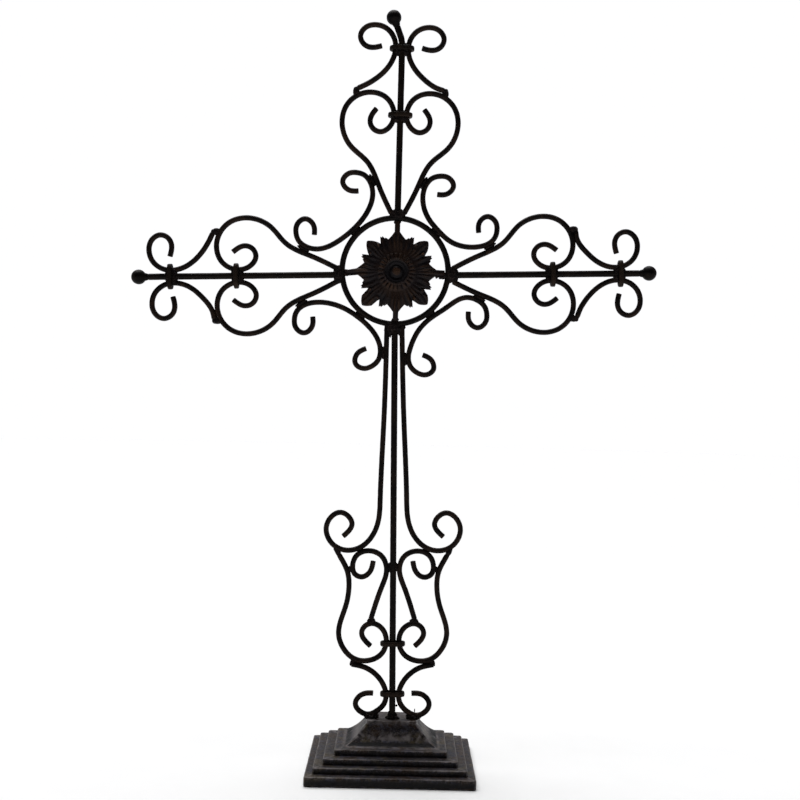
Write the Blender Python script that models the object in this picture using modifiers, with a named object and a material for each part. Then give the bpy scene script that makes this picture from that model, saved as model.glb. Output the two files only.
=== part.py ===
"""A standing cross of bent iron rod, with a cast rosette in a ring and a stepped cast base.

The cross stands in the XZ plane, seen from -Y, with the origin under the middle of the base.
Points in that plane are complex numbers, x + 1j * z. A route of a rod is written as (along, out)
pairs beside a straight bar: along the bar, and out from its centre line. All sizes are in metres.
"""

import cmath
import math

import bmesh
import bpy
import numpy as np

# Stock and fits
ROD_RADIUS = 0.00275
BAR_RADIUS = 0.0033
CLEARANCE = 0.0003
ROD_TOUCH = 2 * ROD_RADIUS + CLEARANCE
BAR_TOUCH = BAR_RADIUS + ROD_RADIUS + CLEARANCE
OBLIQUE_END = ROD_TOUCH + 0.0013
STANDING_END = 1.4 * ROD_RADIUS + CLEARANCE

# Base, a stepped casting with a hollow flare up to a small plate, both set back a little on the steps
BASE_WIDTH = 0.1635
BASE_DEPTH = 0.1325
BASE_OFFSET = -0.0004
BASE_SETBACK = 0.0015
BASE_CORNER = 0.0020
FIRST_STEP_RISE = 0.0094
STEP_RISE = 0.0057
STEP_INSETS = ((0.0, 0.0), (0.0076, 0.0093), (0.0166, 0.0189), (0.0268, 0.0299))
STEP_ROUND = 0.0012
FLARE_LEDGE = (0.0092, 0.0064)
FLARE_SETBACK = 0.0043
FLARE_RISE = 0.0193
FLARE_HOLLOW = 0.12
FLARE_LEVELS = 5
PLATE_EDGE = 0.0027
PLATE_ROUND = 0.0013
FOOT_SPREAD = 0.0240
PLATE_LIP = 0.0008
PLATE_DEPTH = 0.0340
PLATE_WIDTH = 2 * (FOOT_SPREAD + PLATE_LIP)
BASE_HEIGHT = FIRST_STEP_RISE + (len(STEP_INSETS) - 1) * STEP_RISE + FLARE_RISE + PLATE_EDGE

# Upright, which leans a little to the left, and the ring at its head
FOOT_OFFSET = 0.0004
UPRIGHT_LEAN = math.radians(0.97)
RING_HEIGHT = 0.4468
RING_MISS = 0.0003
RING_RADIUS = 0.0530
RING_ROD_RADIUS = 0.0030
RING_OUTER = RING_RADIUS + RING_ROD_RADIUS
RING_INNER = RING_RADIUS - RING_ROD_RADIUS
FOOT = complex(FOOT_OFFSET, BASE_HEIGHT)
UPWARD = cmath.rect(1, math.pi / 2 + UPRIGHT_LEAN)
RING_CENTRE = FOOT + RING_HEIGHT * UPWARD + RING_MISS

# Arms, each with its own small error of the hand: heading, and how far it misses the ring's centre
ARMS = {
    "top": (math.radians(89.8), 0.0011, ("left", "right")),
    "left": (math.radians(181.92), -0.0032j, ("lower", "upper")),
    "right": (math.radians(1.84), -0.0047j, ("upper", "lower")),
}
FINIAL_RADIUS = 0.0075
FINIAL_NECK = 0.0095

# Scrolls beside an arm, with along counted from the ring's outer side, and what the bar adds past them
LYRE_BULGE = (0.1181, 0.0443)
LYRE_TOUCH = 0.1013
TIP_TOUCH = LYRE_TOUCH + 0.0647
ARM_OVERHANGS = {"left": 0.0343, "right": 0.0321}
TOP_BEND_PAST = 0.0083
TOP_BEND = math.radians(21)
TOP_BENT_LENGTH = 0.0247
TIP_SLIDE = {
    "top_left": 0.0008,
    "top_right": -0.0007,
    "left_upper": 0.0008,
    "left_lower": -0.0017,
    "right_upper": -0.0023,
    "right_lower": 0.0,
}

# Places on the lower scrolls that another scroll is welded to, counted up the upright from its foot
LONG_HOOK_LOW = (0.1715, 0.0582)
SIDE_WAIST = (0.1477, 0.0461)
SIDE_HOOK_TOP = (0.0943, 0.0210)
SIDE_LOW = (0.0588, 0.0380)

# Corner scrolls: where each touches the ring, and its two neighbours as arm, side and how far along
# the neighbour's rod the knee rests, from the ring's outer side
CORNERS = {
    "upper_right": (math.radians(44.5), (("right", 1, 0.0397), ("top", -1, 0.0352))),
    "upper_left": (math.radians(135.6), (("top", 1, 0.0359), ("left", -1, 0.0363))),
    "lower_left": (math.radians(233.4), (("left", 1, 0.0420), ("low", 1, 0.0262))),
    "lower_right": (math.radians(309.7), (("low", -1, 0.0323), ("right", -1, 0.0316))),
}
CORNER_BOW_RISE = 0.0014
CORNER_BOW_REACH = 0.0160

# Collars, closed loops of wire round the bar and two rods, some of them slid along off the touching place
COLLAR_HEIGHT = 0.0049
COLLAR_PLAY = 0.0003
ARM_COLLAR_WIRE = 0.0029
LOW_COLLAR_WIRE = 0.0026
COLLAR_SLIDES = {"top": (-0.0015, 0.0005), "left": (0.0014, 0.0028), "right": (0.0005, 0.0036)}
WAIST_COLLAR_AT = 0.0743
FOOT_COLLAR_AT = 0.0241

# Rosette, one casting with four tangs
ROSETTE_OFFSET = 0.0014 - 0.0010j
ROSETTE_THICKNESS = 0.0026
TANG_HALF_WIDTH = 0.0027
TANG_MISSES = (-0.0003, 0.0, 0.0022, 0.0)
PETAL_RADIUS = 0.0400
VALLEY_RADIUS = 0.0336
TOOTH_RADIUS = 0.0386
LEAF_RADII = (0.0438, 0.0426, 0.0478, 0.0448)
BUTTON_RADIUS = 0.0050
BOSS_RADIUS = 0.0121
DAISY_RADIUS = 0.0197
BUTTON_HEIGHT = 0.0075
BOSS_HEIGHT = 0.0062
DAISY_HEIGHT = 0.0030
LEAF_RIB = 0.0014

# Facets of the solids
FACET_TURN = math.radians(26)
LONGEST_FACET = 0.080
SPLINE_STEP = 0.0010
ROD_SIDES = 1
BAR_SIDES = 2


# Routes

def beside(point, degrees, distance):
    """The (along, out) point at a distance from another, in a direction measured from along to out."""
    shift = cmath.rect(distance, math.radians(degrees))
    return point[0] + shift.real, point[1] + shift.imag


def placed(route, origin, heading, side):
    """A route of (along, out) pairs as points of the cross's plane; side 1 is left of the heading."""
    turn = cmath.rect(1, heading)
    return [origin + turn * complex(along, side * out) for along, out in route]


def smooth(points):
    """The natural cubic spline through the points, which is the line that a bent rod takes."""
    knots = np.array(points)
    span = np.abs(np.diff(knots))
    slope = np.diff(knots) / span
    rows = np.eye(len(knots))
    pull = np.zeros(len(knots), complex)
    for k in range(1, len(knots) - 1):
        rows[k, k - 1 : k + 2] = span[k - 1], 2 * (span[k - 1] + span[k]), span[k]
        pull[k] = 6 * (slope[k] - slope[k - 1])
    bend = np.linalg.solve(rows, pull)
    path = [knots[0]]
    for k, length in enumerate(span):
        count = max(2, round(length / SPLINE_STEP))
        for step in range(1, count + 1):
            after = length * step / count
            before = length - after
            curved = (bend[k] * before**3 + bend[k + 1] * after**3) / (6 * length)
            start = knots[k] / length - bend[k] * length / 6
            end = knots[k + 1] / length - bend[k + 1] * length / 6
            path.append(curved + start * before + end * after)
    return np.array(path)


def faceted(path):
    """The path read at points that stand closer where it turns and further apart where it runs straight."""
    steps = np.diff(path)
    turns = np.append(0, np.abs(np.angle(steps[1:] / steps[:-1])))
    measure = np.append(0, np.cumsum(np.abs(steps) / LONGEST_FACET + turns / FACET_TURN))
    marks = np.linspace(0, measure[-1], math.ceil(measure[-1]) + 1)
    return np.interp(marks, measure, path)


# Materials and objects

def iron(name, colour, roughness):
    """Painted iron: a near black brown over metal."""
    material = bpy.data.materials.new(name)
    material.use_nodes = True
    shader = material.node_tree.nodes["Principled BSDF"]
    shader.inputs["Base Color"].default_value = (*colour, 1)
    shader.inputs["Metallic"].default_value = 0.6
    shader.inputs["Roughness"].default_value = roughness
    material.diffuse_color = (*colour, 1)
    return material


def collection(name):
    made = bpy.data.collections.new(name)
    bpy.context.scene.collection.children.link(made)
    return made


def add(name, data, material):
    """An object of the cross, from its mesh or curve."""
    data.materials.append(material)
    obj = bpy.data.objects.new(name, data)
    cross.objects.link(obj)
    return obj


def rod(name, path, radius, material, sides):
    """A round rod with square-cut ends along points of the cross's plane."""
    curve = bpy.data.curves.new(name, "CURVE")
    curve.dimensions = "3D"
    curve.bevel_depth = radius
    curve.bevel_resolution = sides
    curve.use_fill_caps = True
    spline = curve.splines.new("POLY")
    spline.points.add(len(path) - 1)
    for point, place in zip(spline.points, path):
        point.co = (place.real, 0, place.imag, 1)
    return add(name, curve, material)


def scroll(name, points):
    """A scroll of thin rod through the points; it gives back the smooth line that the rod takes."""
    path = smooth(points)
    rod(name, faceted(path), ROD_RADIUS, rod_iron, ROD_SIDES)
    return path


def mesh_of(name, shape):
    """A mesh from a bmesh, with its faces turned out and its round surfaces smooth."""
    bmesh.ops.recalc_face_normals(shape, faces=shape.faces)
    mesh = bpy.data.meshes.new(name)
    shape.to_mesh(mesh)
    shape.free()
    mesh.shade_smooth()
    mesh.set_sharp_from_angle(angle=math.radians(35))
    return mesh


# Base

def base_levels():
    """Inset of each level of the base in width and in depth, how far it is shifted, and its height."""
    levels = []
    top = FIRST_STEP_RISE
    for step, (across, deep) in enumerate(STEP_INSETS):
        if step:
            levels.append((across, deep, 0j, top))
            top += STEP_RISE
        levels.append((across, deep, 0j, top - STEP_ROUND))
        levels.append((across + STEP_ROUND, deep + STEP_ROUND, 0j, top))
    across += FLARE_LEDGE[0]
    deep += FLARE_LEDGE[1]
    narrowed = (BASE_WIDTH - PLATE_WIDTH) / 2 - across
    thinned = (BASE_DEPTH - PLATE_DEPTH) / 2 - deep
    shift = complex(-BASE_OFFSET, FLARE_SETBACK)
    for level in range(FLARE_LEVELS + 1):
        share = level / FLARE_LEVELS
        rise = FLARE_RISE * (share - FLARE_HOLLOW * math.sin(math.pi * share))
        levels.append((across + narrowed * share, deep + thinned * share, shift, top + rise))
    across += narrowed
    deep += thinned
    levels.append((across, deep, shift, BASE_HEIGHT - PLATE_ROUND))
    levels.append((across + PLATE_ROUND / 2, deep + PLATE_ROUND / 2, shift, BASE_HEIGHT))
    return levels


def make_base():
    """A rectangle with rounded corners, drawn up level by level."""
    shape = bmesh.new()
    bmesh.ops.create_grid(shape, x_segments=1, y_segments=1, size=1)
    bmesh.ops.scale(shape, vec=(BASE_WIDTH / 2, BASE_DEPTH / 2, 1), verts=shape.verts)
    bmesh.ops.bevel(
        shape, geom=shape.verts[:], offset=BASE_CORNER, segments=2, profile=0.5, affect="VERTICES"
    )
    top = shape.faces[:][0]
    below = (0, 0, 0j)
    for across, deep, shift, height in base_levels():
        raised = bmesh.ops.extrude_face_region(shape, geom=[top], use_keep_orig=True)
        if height > FIRST_STEP_RISE - STEP_ROUND:
            bmesh.ops.delete(shape, geom=[top], context="FACES_ONLY")
        top = next(part for part in raised["geom"] if isinstance(part, bmesh.types.BMFace))
        for vert in top.verts:
            x = vert.co.x - below[2].real
            y = vert.co.y - below[2].imag
            vert.co.x = x - math.copysign(across - below[0], x) + shift.real
            vert.co.y = y - math.copysign(deep - below[1], y) + shift.imag
            vert.co.z = height
        below = (across, deep, shift)
    base = add("base", mesh_of("base", shape), base_iron)
    base.location = (BASE_OFFSET, BASE_SETBACK, 0)


# Ring, bars and finials

def make_ring():
    bpy.ops.mesh.primitive_torus_add(
        major_segments=36,
        minor_segments=8,
        major_radius=RING_RADIUS,
        minor_radius=RING_ROD_RADIUS,
    )
    primitive = bpy.context.object
    mesh = primitive.data
    bpy.data.objects.remove(primitive)
    mesh.shade_smooth()
    ring = add("ring", mesh, bar_iron)
    ring.location = (RING_CENTRE.real, 0, RING_CENTRE.imag)
    ring.rotation_euler = (math.pi / 2, 0, 0)


def make_finial(name, centre, heading):
    """A ball with a conical neck, whose flat seat meets the end of its bar."""
    tangent = math.acos(FINIAL_RADIUS / FINIAL_NECK) * 0.9
    profile = [
        (FINIAL_RADIUS * math.sin(turn), FINIAL_RADIUS * math.cos(turn))
        for turn in np.linspace(0, math.pi - tangent, 8)
    ]
    profile += [(BAR_RADIUS, -FINIAL_NECK), (0, -FINIAL_NECK)]
    mesh = bpy.data.meshes.new(name)
    mesh.from_pydata([(r, 0, z) for r, z in profile], [(k, k + 1) for k in range(len(profile) - 1)], [])
    finial = add(name, mesh, finial_iron)
    finial.location = (centre.real, 0, centre.imag)
    finial.rotation_euler = (0, math.pi / 2 - heading, 0)
    screw = finial.modifiers.new("turned", "SCREW")
    screw.steps = screw.render_steps = 10
    screw.use_merge_vertices = True
    screw.merge_threshold = 0.0001
    screw.use_smooth_shade = True


def arm_frame(arm):
    """Origin and heading of an arm, with the origin at the arm's foot on the ring."""
    heading, miss, _ = ARMS[arm]
    return RING_CENTRE + miss + cmath.rect(RING_OUTER, heading), heading


def make_arm_bar(arm):
    origin, heading = arm_frame(arm)
    centre_line = cmath.rect(1, heading)
    start = origin + CLEARANCE * centre_line
    if arm in ARM_OVERHANGS:
        centre = origin + (TIP_TOUCH + ARM_OVERHANGS[arm]) * centre_line
        path = [start, centre - (FINIAL_NECK + CLEARANCE) * centre_line]
    else:
        bend = origin + (TIP_TOUCH + TOP_BEND_PAST) * centre_line
        heading += TOP_BEND
        bent_line = cmath.rect(1, heading)
        centre = bend + TOP_BENT_LENGTH * bent_line
        path = [start, bend, centre - (FINIAL_NECK + CLEARANCE) * bent_line]
    rod(arm + "_bar", path, BAR_RADIUS, bar_iron, BAR_SIDES)
    make_finial(arm + "_finial", centre, heading)


def make_upright():
    foot = FOOT + 2 * CLEARANCE * UPWARD
    head = RING_CENTRE - (RING_OUTER + CLEARANCE) * UPWARD
    rod("upright", [foot, head], BAR_RADIUS, bar_iron, BAR_SIDES)


# Scrolls

def lyre_route():
    """From the foot of an arm out along a straight, round a wide bulge and back into a hook."""
    return [
        (0.0018, BAR_TOUCH + 0.0002),
        (0.0273, 0.0189),
        (0.0533, 0.0325),
        (0.0677, 0.0486),
        (0.0814, 0.0563),
        (0.0938, 0.0580),
        (0.1079, 0.0542),
        LYRE_BULGE,
        (0.1222, 0.0300),
        (0.1170, 0.0142),
        (LYRE_TOUCH, BAR_TOUCH),
        (0.0887, 0.0099),
        (0.0829, 0.0197),
        (0.0873, 0.0280),
        (0.0943, 0.0300),
        (0.1061, 0.0238),
    ]


def tip_route(slide):
    """From its weld on the lyre's bulge down to the bar and round into a hook."""
    hook = [
        (-0.0378, 0.0365),
        (-0.0278, 0.0215),
        (-0.0167, 0.0118),
        (0.0, BAR_TOUCH),
        (0.0115, 0.0088),
        (0.0202, 0.0168),
        (0.0229, 0.0255),
        (0.0205, 0.0362),
        (0.0118, 0.0418),
        (0.0035, 0.0384),
        (0.0005, 0.0326),
        (0.0021, 0.0200),
    ]
    touch = TIP_TOUCH + slide
    return [beside(LYRE_BULGE, 2, OBLIQUE_END)] + [(touch + along, out) for along, out in hook]


def make_collar(name, centre, heading, wire, held):
    """A loop of wire with straight sides and round ends, closed round the bar and the rods it holds."""
    along = cmath.rect(1, heading)
    reach = BAR_TOUCH
    for path in held:
        place = (path - centre) / along
        near = (np.abs(place.real) < COLLAR_HEIGHT / 2 + ROD_RADIUS / 4) & (np.abs(place.imag) < 2 * BAR_TOUCH)
        reach = max([reach, *np.abs(place.imag[near])])
    round_end = BAR_RADIUS + CLEARANCE + wire / 2
    straight = reach + ROD_RADIUS + COLLAR_PLAY + wire / 2 - round_end
    curve = bpy.data.curves.new(name, "CURVE")
    curve.dimensions = "3D"
    curve.bevel_depth = wire / 2
    curve.bevel_resolution = 1
    loop = curve.splines.new("POLY")
    turns = [math.radians(-90 + 45 * k) for k in range(5)]
    ends = [(straight + round_end * math.cos(turn), round_end * math.sin(turn)) for turn in turns]
    ends += [(-x, -y) for x, y in ends]
    loop.points.add(len(ends) - 1)
    for point, (x, y) in zip(loop.points, ends):
        point.co = (x, y, 0, 1)
    loop.use_cyclic_u = True
    collar = add(name, curve, rod_iron)
    collar.location = (centre.real, 0, centre.imag)
    collar.rotation_euler = (0, math.pi / 2 - heading, 0)
    collar.scale = (1, 1, COLLAR_HEIGHT / wire)


def make_arm_scrolls(arm):
    origin, heading = arm_frame(arm)
    lyres = []
    tips = []
    for side, word in zip((1, -1), ARMS[arm][2]):
        lyres.append(scroll(f"{arm}_lyre_{word}", placed(lyre_route(), origin, heading, side)))
        tip = tip_route(TIP_SLIDE[f"{arm}_{word}"])
        tips.append(scroll(f"{arm}_tip_scroll_{word}", placed(tip, origin, heading, side)))
    centre_line = cmath.rect(1, heading)
    inner = origin + (LYRE_TOUCH + COLLAR_SLIDES[arm][0]) * centre_line
    outer = origin + (TIP_TOUCH + COLLAR_SLIDES[arm][1]) * centre_line
    make_collar(arm + "_inner_collar", inner, heading, ARM_COLLAR_WIRE, lyres)
    make_collar(arm + "_outer_collar", outer, heading, ARM_COLLAR_WIRE, tips)


def long_route():
    """From the underside of the ring, down beside the upright and round into a wide hook."""
    head = RING_HEIGHT - RING_OUTER - CLEARANCE
    return [
        (head, BAR_TOUCH + 0.0012),
        ((head + 0.2178) / 2, BAR_TOUCH + 0.0034),
        (0.2178, BAR_TOUCH + 0.0069),
        (0.1978, 0.0148),
        (0.1803, 0.0220),
        (0.1707, 0.0323),
        (0.1673, 0.0446),
        LONG_HOOK_LOW,
        (0.1883, 0.0671),
        (0.2008, 0.0619),
        (0.2051, 0.0520),
        (0.1943, 0.0413),
        (0.1812, 0.0502),
    ]


def side_route():
    """From its weld under the long scroll's hook, in at the waist, round the belly and into a hook."""
    return [
        beside(LONG_HOOK_LOW, 205, OBLIQUE_END + ROD_RADIUS / 4),
        (0.1585, 0.0515),
        SIDE_WAIST,
        (0.1318, 0.0439),
        (0.1105, 0.0474),
        (0.0907, 0.0535),
        (0.0838, 0.0540),
        (0.0662, 0.0470),
        SIDE_LOW,
        (0.0570, 0.0255),
        (0.0639, 0.0111),
        (WAIST_COLLAR_AT + 0.0015, BAR_TOUCH),
        (0.0886, 0.0102),
        SIDE_HOOK_TOP,
        (0.0911, 0.0282),
        (0.0858, 0.0309),
        (0.0716, 0.0219),
    ]


def inner_route():
    """A hook against the side scroll's waist, then past the upright and down to stand on its hook."""
    return [
        (0.1569, 0.0198),
        (0.1454, 0.0235),
        (0.1408, 0.0310),
        (0.1442, 0.0386),
        beside(SIDE_WAIST, -74, ROD_TOUCH + 0.0002),
        (0.1627, 0.0359),
        (0.1669, 0.0250),
        (0.1615, 0.0113),
        (0.1488, BAR_TOUCH + 0.0001),
        (0.1307, BAR_TOUCH + 0.0049),
        beside(SIDE_HOOK_TOP, 10, STANDING_END + 0.0004),
    ]


def foot_route(side):
    """From its weld under the side scroll's belly, in to the upright and round, resting on the plate."""
    seat = ROD_RADIUS + CLEARANCE + side * FOOT_SPREAD * math.sin(UPRIGHT_LEAN)
    return [
        beside(SIDE_LOW, 150, ROD_TOUCH + 0.0003),
        (0.0503, 0.0276),
        (0.0415, 0.0149),
        (0.0298, BAR_TOUCH + 0.0013),
        (FOOT_COLLAR_AT, BAR_TOUCH),
        (0.0154, BAR_TOUCH + 0.0012),
        (seat + 0.0031, FOOT_SPREAD - 0.0080),
        (seat, FOOT_SPREAD),
        (seat + 0.0030, FOOT_SPREAD + 0.0082),
        (0.0138, 0.0369),
        (0.0232, 0.0303),
        (0.0246, 0.0190),
    ]


def make_lower_scrolls():
    heading = cmath.phase(UPWARD)
    paths = {"long": [], "side": [], "inner": [], "foot": []}
    for side, word in ((1, "left"), (-1, "right")):
        routes = {
            "long": long_route(),
            "side": side_route(),
            "inner": inner_route(),
            "foot": foot_route(side),
        }
        for kind, route in routes.items():
            paths[kind].append(scroll(f"{kind}_scroll_{word}", placed(route, FOOT, heading, side)))
    waist = FOOT + WAIST_COLLAR_AT * UPWARD
    ankle = FOOT + FOOT_COLLAR_AT * UPWARD
    make_collar("waist_collar", waist, heading, LOW_COLLAR_WIRE, paths["side"])
    make_collar("foot_collar", ankle, heading, LOW_COLLAR_WIRE, paths["foot"])


def neighbour_line(name, side):
    """Foot and direction of the straight rod that a corner scroll's knee rests on."""
    if name == "low":
        start, end = placed(long_route()[:2], FOOT, cmath.phase(UPWARD), side)
    else:
        start, end = placed(lyre_route()[:3:2], *arm_frame(name), side)
    return start, (end - start) / abs(end - start)


def corner_hook(name, side, knee_at):
    """The hook of half a corner scroll, from its end to its knee on the neighbour and just past it."""
    start, along = neighbour_line(name, side)
    away = 1j * along * (-side if name == "low" else side)
    abreast = ((RING_CENTRE - start) * along.conjugate()).real
    knee = start + (abreast + RING_OUTER + knee_at) * along + ROD_TOUCH * away
    route = [
        (-0.0039, 0.0141),
        (0.0014, 0.0228),
        (0.0113, 0.0246),
        (0.0161, 0.0167),
        (0.0136, 0.0081),
        (0.0074, 0.0019),
        (0.0, 0.0),
        (-0.0120, 0.0024),
    ]
    return [knee + x * along + y * away for x, y in route]


def make_corner_scrolls():
    """C-shaped scrolls in the four corners, which touch the ring and both neighbours."""
    for word, (angle, (first, second)) in CORNERS.items():
        outward = cmath.rect(1, angle)
        contact = RING_CENTRE + (RING_OUTER + ROD_RADIUS + CLEARANCE) * outward
        first_hook = corner_hook(*first)
        second_hook = corner_hook(*second)
        turned = math.copysign(1, ((first_hook[-1] - contact) / outward).imag)
        first_bow = contact + complex(CORNER_BOW_RISE, turned * CORNER_BOW_REACH) * outward
        second_bow = contact + complex(CORNER_BOW_RISE, -turned * CORNER_BOW_REACH) * outward
        route = [*first_hook, first_bow, contact, second_bow, *reversed(second_hook)]
        scroll(f"corner_scroll_{word}", route)


# Rosette

def rosette_rim(leaf_radius):
    """Angle and radius round one eighth of the rosette, from the middle of a tang to a leaf's tip."""
    return [
        (3.9, PETAL_RADIUS),
        (9.0, (PETAL_RADIUS + VALLEY_RADIUS) / 2 - 0.0005),
        (15.0, VALLEY_RADIUS),
        (19.0, (TOOTH_RADIUS + VALLEY_RADIUS) / 2),
        (24.5, TOOTH_RADIUS),
        (28.5, (TOOTH_RADIUS + VALLEY_RADIUS) / 2),
        (32.8, VALLEY_RADIUS),
        (38.0, (leaf_radius + VALLEY_RADIUS) / 2 - 0.0005),
        (42.6, leaf_radius - 0.0022),
    ]


def rosette_columns():
    """Direction and rim radius of every column of the rosette, from the tang at the right round."""
    columns = []
    for quarter, (leaf_radius, miss) in enumerate(zip(LEAF_RADII, TANG_MISSES)):
        turn = 90.0 * quarter
        direction = cmath.rect(1, math.radians(turn))
        for aside in (miss - TANG_HALF_WIDTH, miss + TANG_HALF_WIDTH):
            corner = ROSETTE_OFFSET / direction + 1j * aside
            reach = math.sqrt((RING_INNER - CLEARANCE) ** 2 - corner.imag**2) - corner.real
            edge = complex(reach, aside)
            columns.append((turn + math.degrees(cmath.phase(edge)), abs(edge)))
        eighth = rosette_rim(leaf_radius)
        columns += [(turn + angle, radius) for angle, radius in eighth]
        columns.append((turn + 45, leaf_radius))
        opposite = [(turn + 90 - angle, radius) for angle, radius in reversed(eighth)]
        columns += opposite
    return columns


def rosette_height(angle, radius, rim):
    """Height of the rosette's face over its back: button, boss, daisy, then leaves with ribs."""
    rings = [0, BUTTON_RADIUS, BUTTON_RADIUS * 1.5, BOSS_RADIUS, DAISY_RADIUS]
    heights = [BUTTON_HEIGHT, BUTTON_HEIGHT - 0.0012, BOSS_HEIGHT - 0.0015, BOSS_HEIGHT, DAISY_HEIGHT]
    body = np.interp(radius, rings + [rim], heights + [0.0006])
    rib = LEAF_RIB * (0.5 + 0.5 * math.cos(math.radians(8 * angle)))
    blend = np.interp(radius, [DAISY_RADIUS, (DAISY_RADIUS + rim) / 2, rim], [0, 1, 0.5])
    return ROSETTE_THICKNESS + body + rib * blend


def make_rosette():
    """The rosette, pressed from a ball: each ring of the ball becomes a ring of the relief."""
    columns = rosette_columns()
    rings = (0, BUTTON_RADIUS, BUTTON_RADIUS * 1.5, BOSS_RADIUS, DAISY_RADIUS)
    levels = len(rings) + 3
    back = ROSETTE_THICKNESS / 2
    shape = bmesh.new()
    bmesh.ops.create_uvsphere(shape, u_segments=len(columns), v_segments=levels, radius=1)
    for vert in shape.verts:
        level = round(math.acos(max(-1, min(1, vert.co.z))) / math.pi * levels)
        azimuth = math.atan2(vert.co.y, vert.co.x) % math.tau
        angle, rim = columns[round(azimuth / math.tau * len(columns)) % len(columns)]
        if level < len(rings):
            radius = rings[level]
        elif level == len(rings):
            radius = (DAISY_RADIUS + rim) / 2
        else:
            radius = rim if level < levels else 0
        place = cmath.rect(radius, math.radians(angle))
        behind = level > len(rings) + 1
        depth = back if behind else back - rosette_height(angle, radius, rim)
        vert.co = (place.real, depth, place.imag)
    rosette = add("rosette", mesh_of("rosette", shape), rosette_iron)
    centre = RING_CENTRE + ROSETTE_OFFSET
    rosette.location = (centre.real, 0, centre.imag)


for leftover in list(bpy.data.objects):
    bpy.data.objects.remove(leftover)

cross = collection("wrought_iron_cross")
rod_iron = iron("rod_iron", (0.012, 0.009, 0.008), 0.45)
bar_iron = iron("bar_iron", (0.014, 0.010, 0.009), 0.50)
finial_iron = iron("finial_iron", (0.016, 0.012, 0.010), 0.45)
rosette_iron = iron("rosette_iron", (0.020, 0.014, 0.010), 0.50)
base_iron = iron("base_iron", (0.035, 0.028, 0.022), 0.50)

make_base()
make_upright()
make_ring()
make_rosette()
for arm_name in ARMS:
    make_arm_bar(arm_name)
    make_arm_scrolls(arm_name)
make_corner_scrolls()
make_lower_scrolls()
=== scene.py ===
import cmath
import math

import bmesh
import bpy
import numpy as np
from mathutils import Matrix, Vector, noise


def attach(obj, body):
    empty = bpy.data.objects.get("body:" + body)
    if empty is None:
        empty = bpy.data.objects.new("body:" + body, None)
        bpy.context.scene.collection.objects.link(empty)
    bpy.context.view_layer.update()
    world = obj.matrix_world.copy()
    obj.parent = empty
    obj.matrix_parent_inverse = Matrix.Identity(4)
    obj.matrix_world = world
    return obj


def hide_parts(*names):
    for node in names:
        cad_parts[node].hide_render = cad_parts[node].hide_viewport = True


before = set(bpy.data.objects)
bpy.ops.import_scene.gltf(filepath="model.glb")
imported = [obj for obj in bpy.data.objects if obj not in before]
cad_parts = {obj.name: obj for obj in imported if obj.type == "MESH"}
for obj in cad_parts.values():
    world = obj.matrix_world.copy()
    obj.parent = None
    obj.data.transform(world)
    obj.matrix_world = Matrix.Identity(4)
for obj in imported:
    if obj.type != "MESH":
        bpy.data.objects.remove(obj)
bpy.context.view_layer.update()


# Studio
# A white paper floor and a broad soft light from above, in a white room that is bright behind the
# cross and nearly dark in front. The camera stands 1.1 m away, level and half way up the cross, and
# is held askew by a little over a degree.

CAMERA_PLACE = (0.0010, -1.1036, 0.3664)
CAMERA_ROLL = math.radians(-1.31)
CAMERA_LENS = 49.66
FLOOR_RADIUS = 8.0
FLOOR_DROP = 0.0002
ROOM_SEEN = 1.02
ROOM_IN_FRONT = 0.012
ROOM_BEHIND = 0.42
DARK_UNTIL = -0.6
BRIGHT_FROM = 0.9
OVERHEAD_LIGHT = 3.0
OVERHEAD_SPREAD = math.radians(55)
OVERHEAD_TILT = (math.radians(-14), math.radians(-8), 0)


def srgb(hex_colour):
    """The linear colour of an sRGB hex value such as "#2b211c"."""
    parts = [int(hex_colour[k : k + 2], 16) / 255 for k in (1, 3, 5)]
    return (*[c / 12.92 if c <= 0.04045 else ((c + 0.055) / 1.055) ** 2.4 for c in parts], 1)


def node(tree, kind, inputs=(), **settings):
    """Adds a node with its settings; an input is a value, or another node's output to link from."""
    made = tree.nodes.new("ShaderNode" + kind)
    for name, value in settings.items():
        setattr(made, name, value)
    for name, value in dict(inputs).items():
        if isinstance(value, bpy.types.NodeSocket):
            tree.links.new(value, made.inputs[name])
        else:
            made.inputs[name].default_value = value
    return made.outputs


def finish_named(name):
    """A new material with nothing in it, its node tree, and the place of each point in metres."""
    material = bpy.data.materials.new(name)
    material.use_nodes = True
    material.node_tree.nodes.clear()
    place = node(material.node_tree, "TexCoord")["Object"]
    return material, material.node_tree, place


scene = bpy.context.scene
scene.view_settings.view_transform = "Standard"

camera_data = bpy.data.cameras.new("camera")
camera_data.lens = CAMERA_LENS
camera_data.sensor_width = 36
camera = bpy.data.objects.new("camera", camera_data)
camera.location = CAMERA_PLACE
camera.rotation_euler = (math.pi / 2, CAMERA_ROLL, 0)
scene.collection.objects.link(camera)
scene.camera = camera

room = bpy.data.worlds.new("white_room")
room.use_nodes = True
room.node_tree.nodes.clear()
toward = node(room.node_tree, "TexCoord")["Generated"]
depth = node(room.node_tree, "SeparateXYZ", {"Vector": toward})["Y"]
turned = {"Value": depth, "From Min": DARK_UNTIL, "From Max": BRIGHT_FROM}
glow = node(room.node_tree, "MapRange", {**turned, "To Min": ROOM_IN_FRONT, "To Max": ROOM_BEHIND})
seen = node(room.node_tree, "LightPath")["Is Camera Ray"]
strength = node(room.node_tree, "Mix", {0: seen, 2: glow[0], 3: ROOM_SEEN})
walls = node(room.node_tree, "Background", {"Color": srgb("#fdfdff"), "Strength": strength[0]})
node(room.node_tree, "OutputWorld", {"Surface": walls[0]})
scene.world = room

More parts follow.
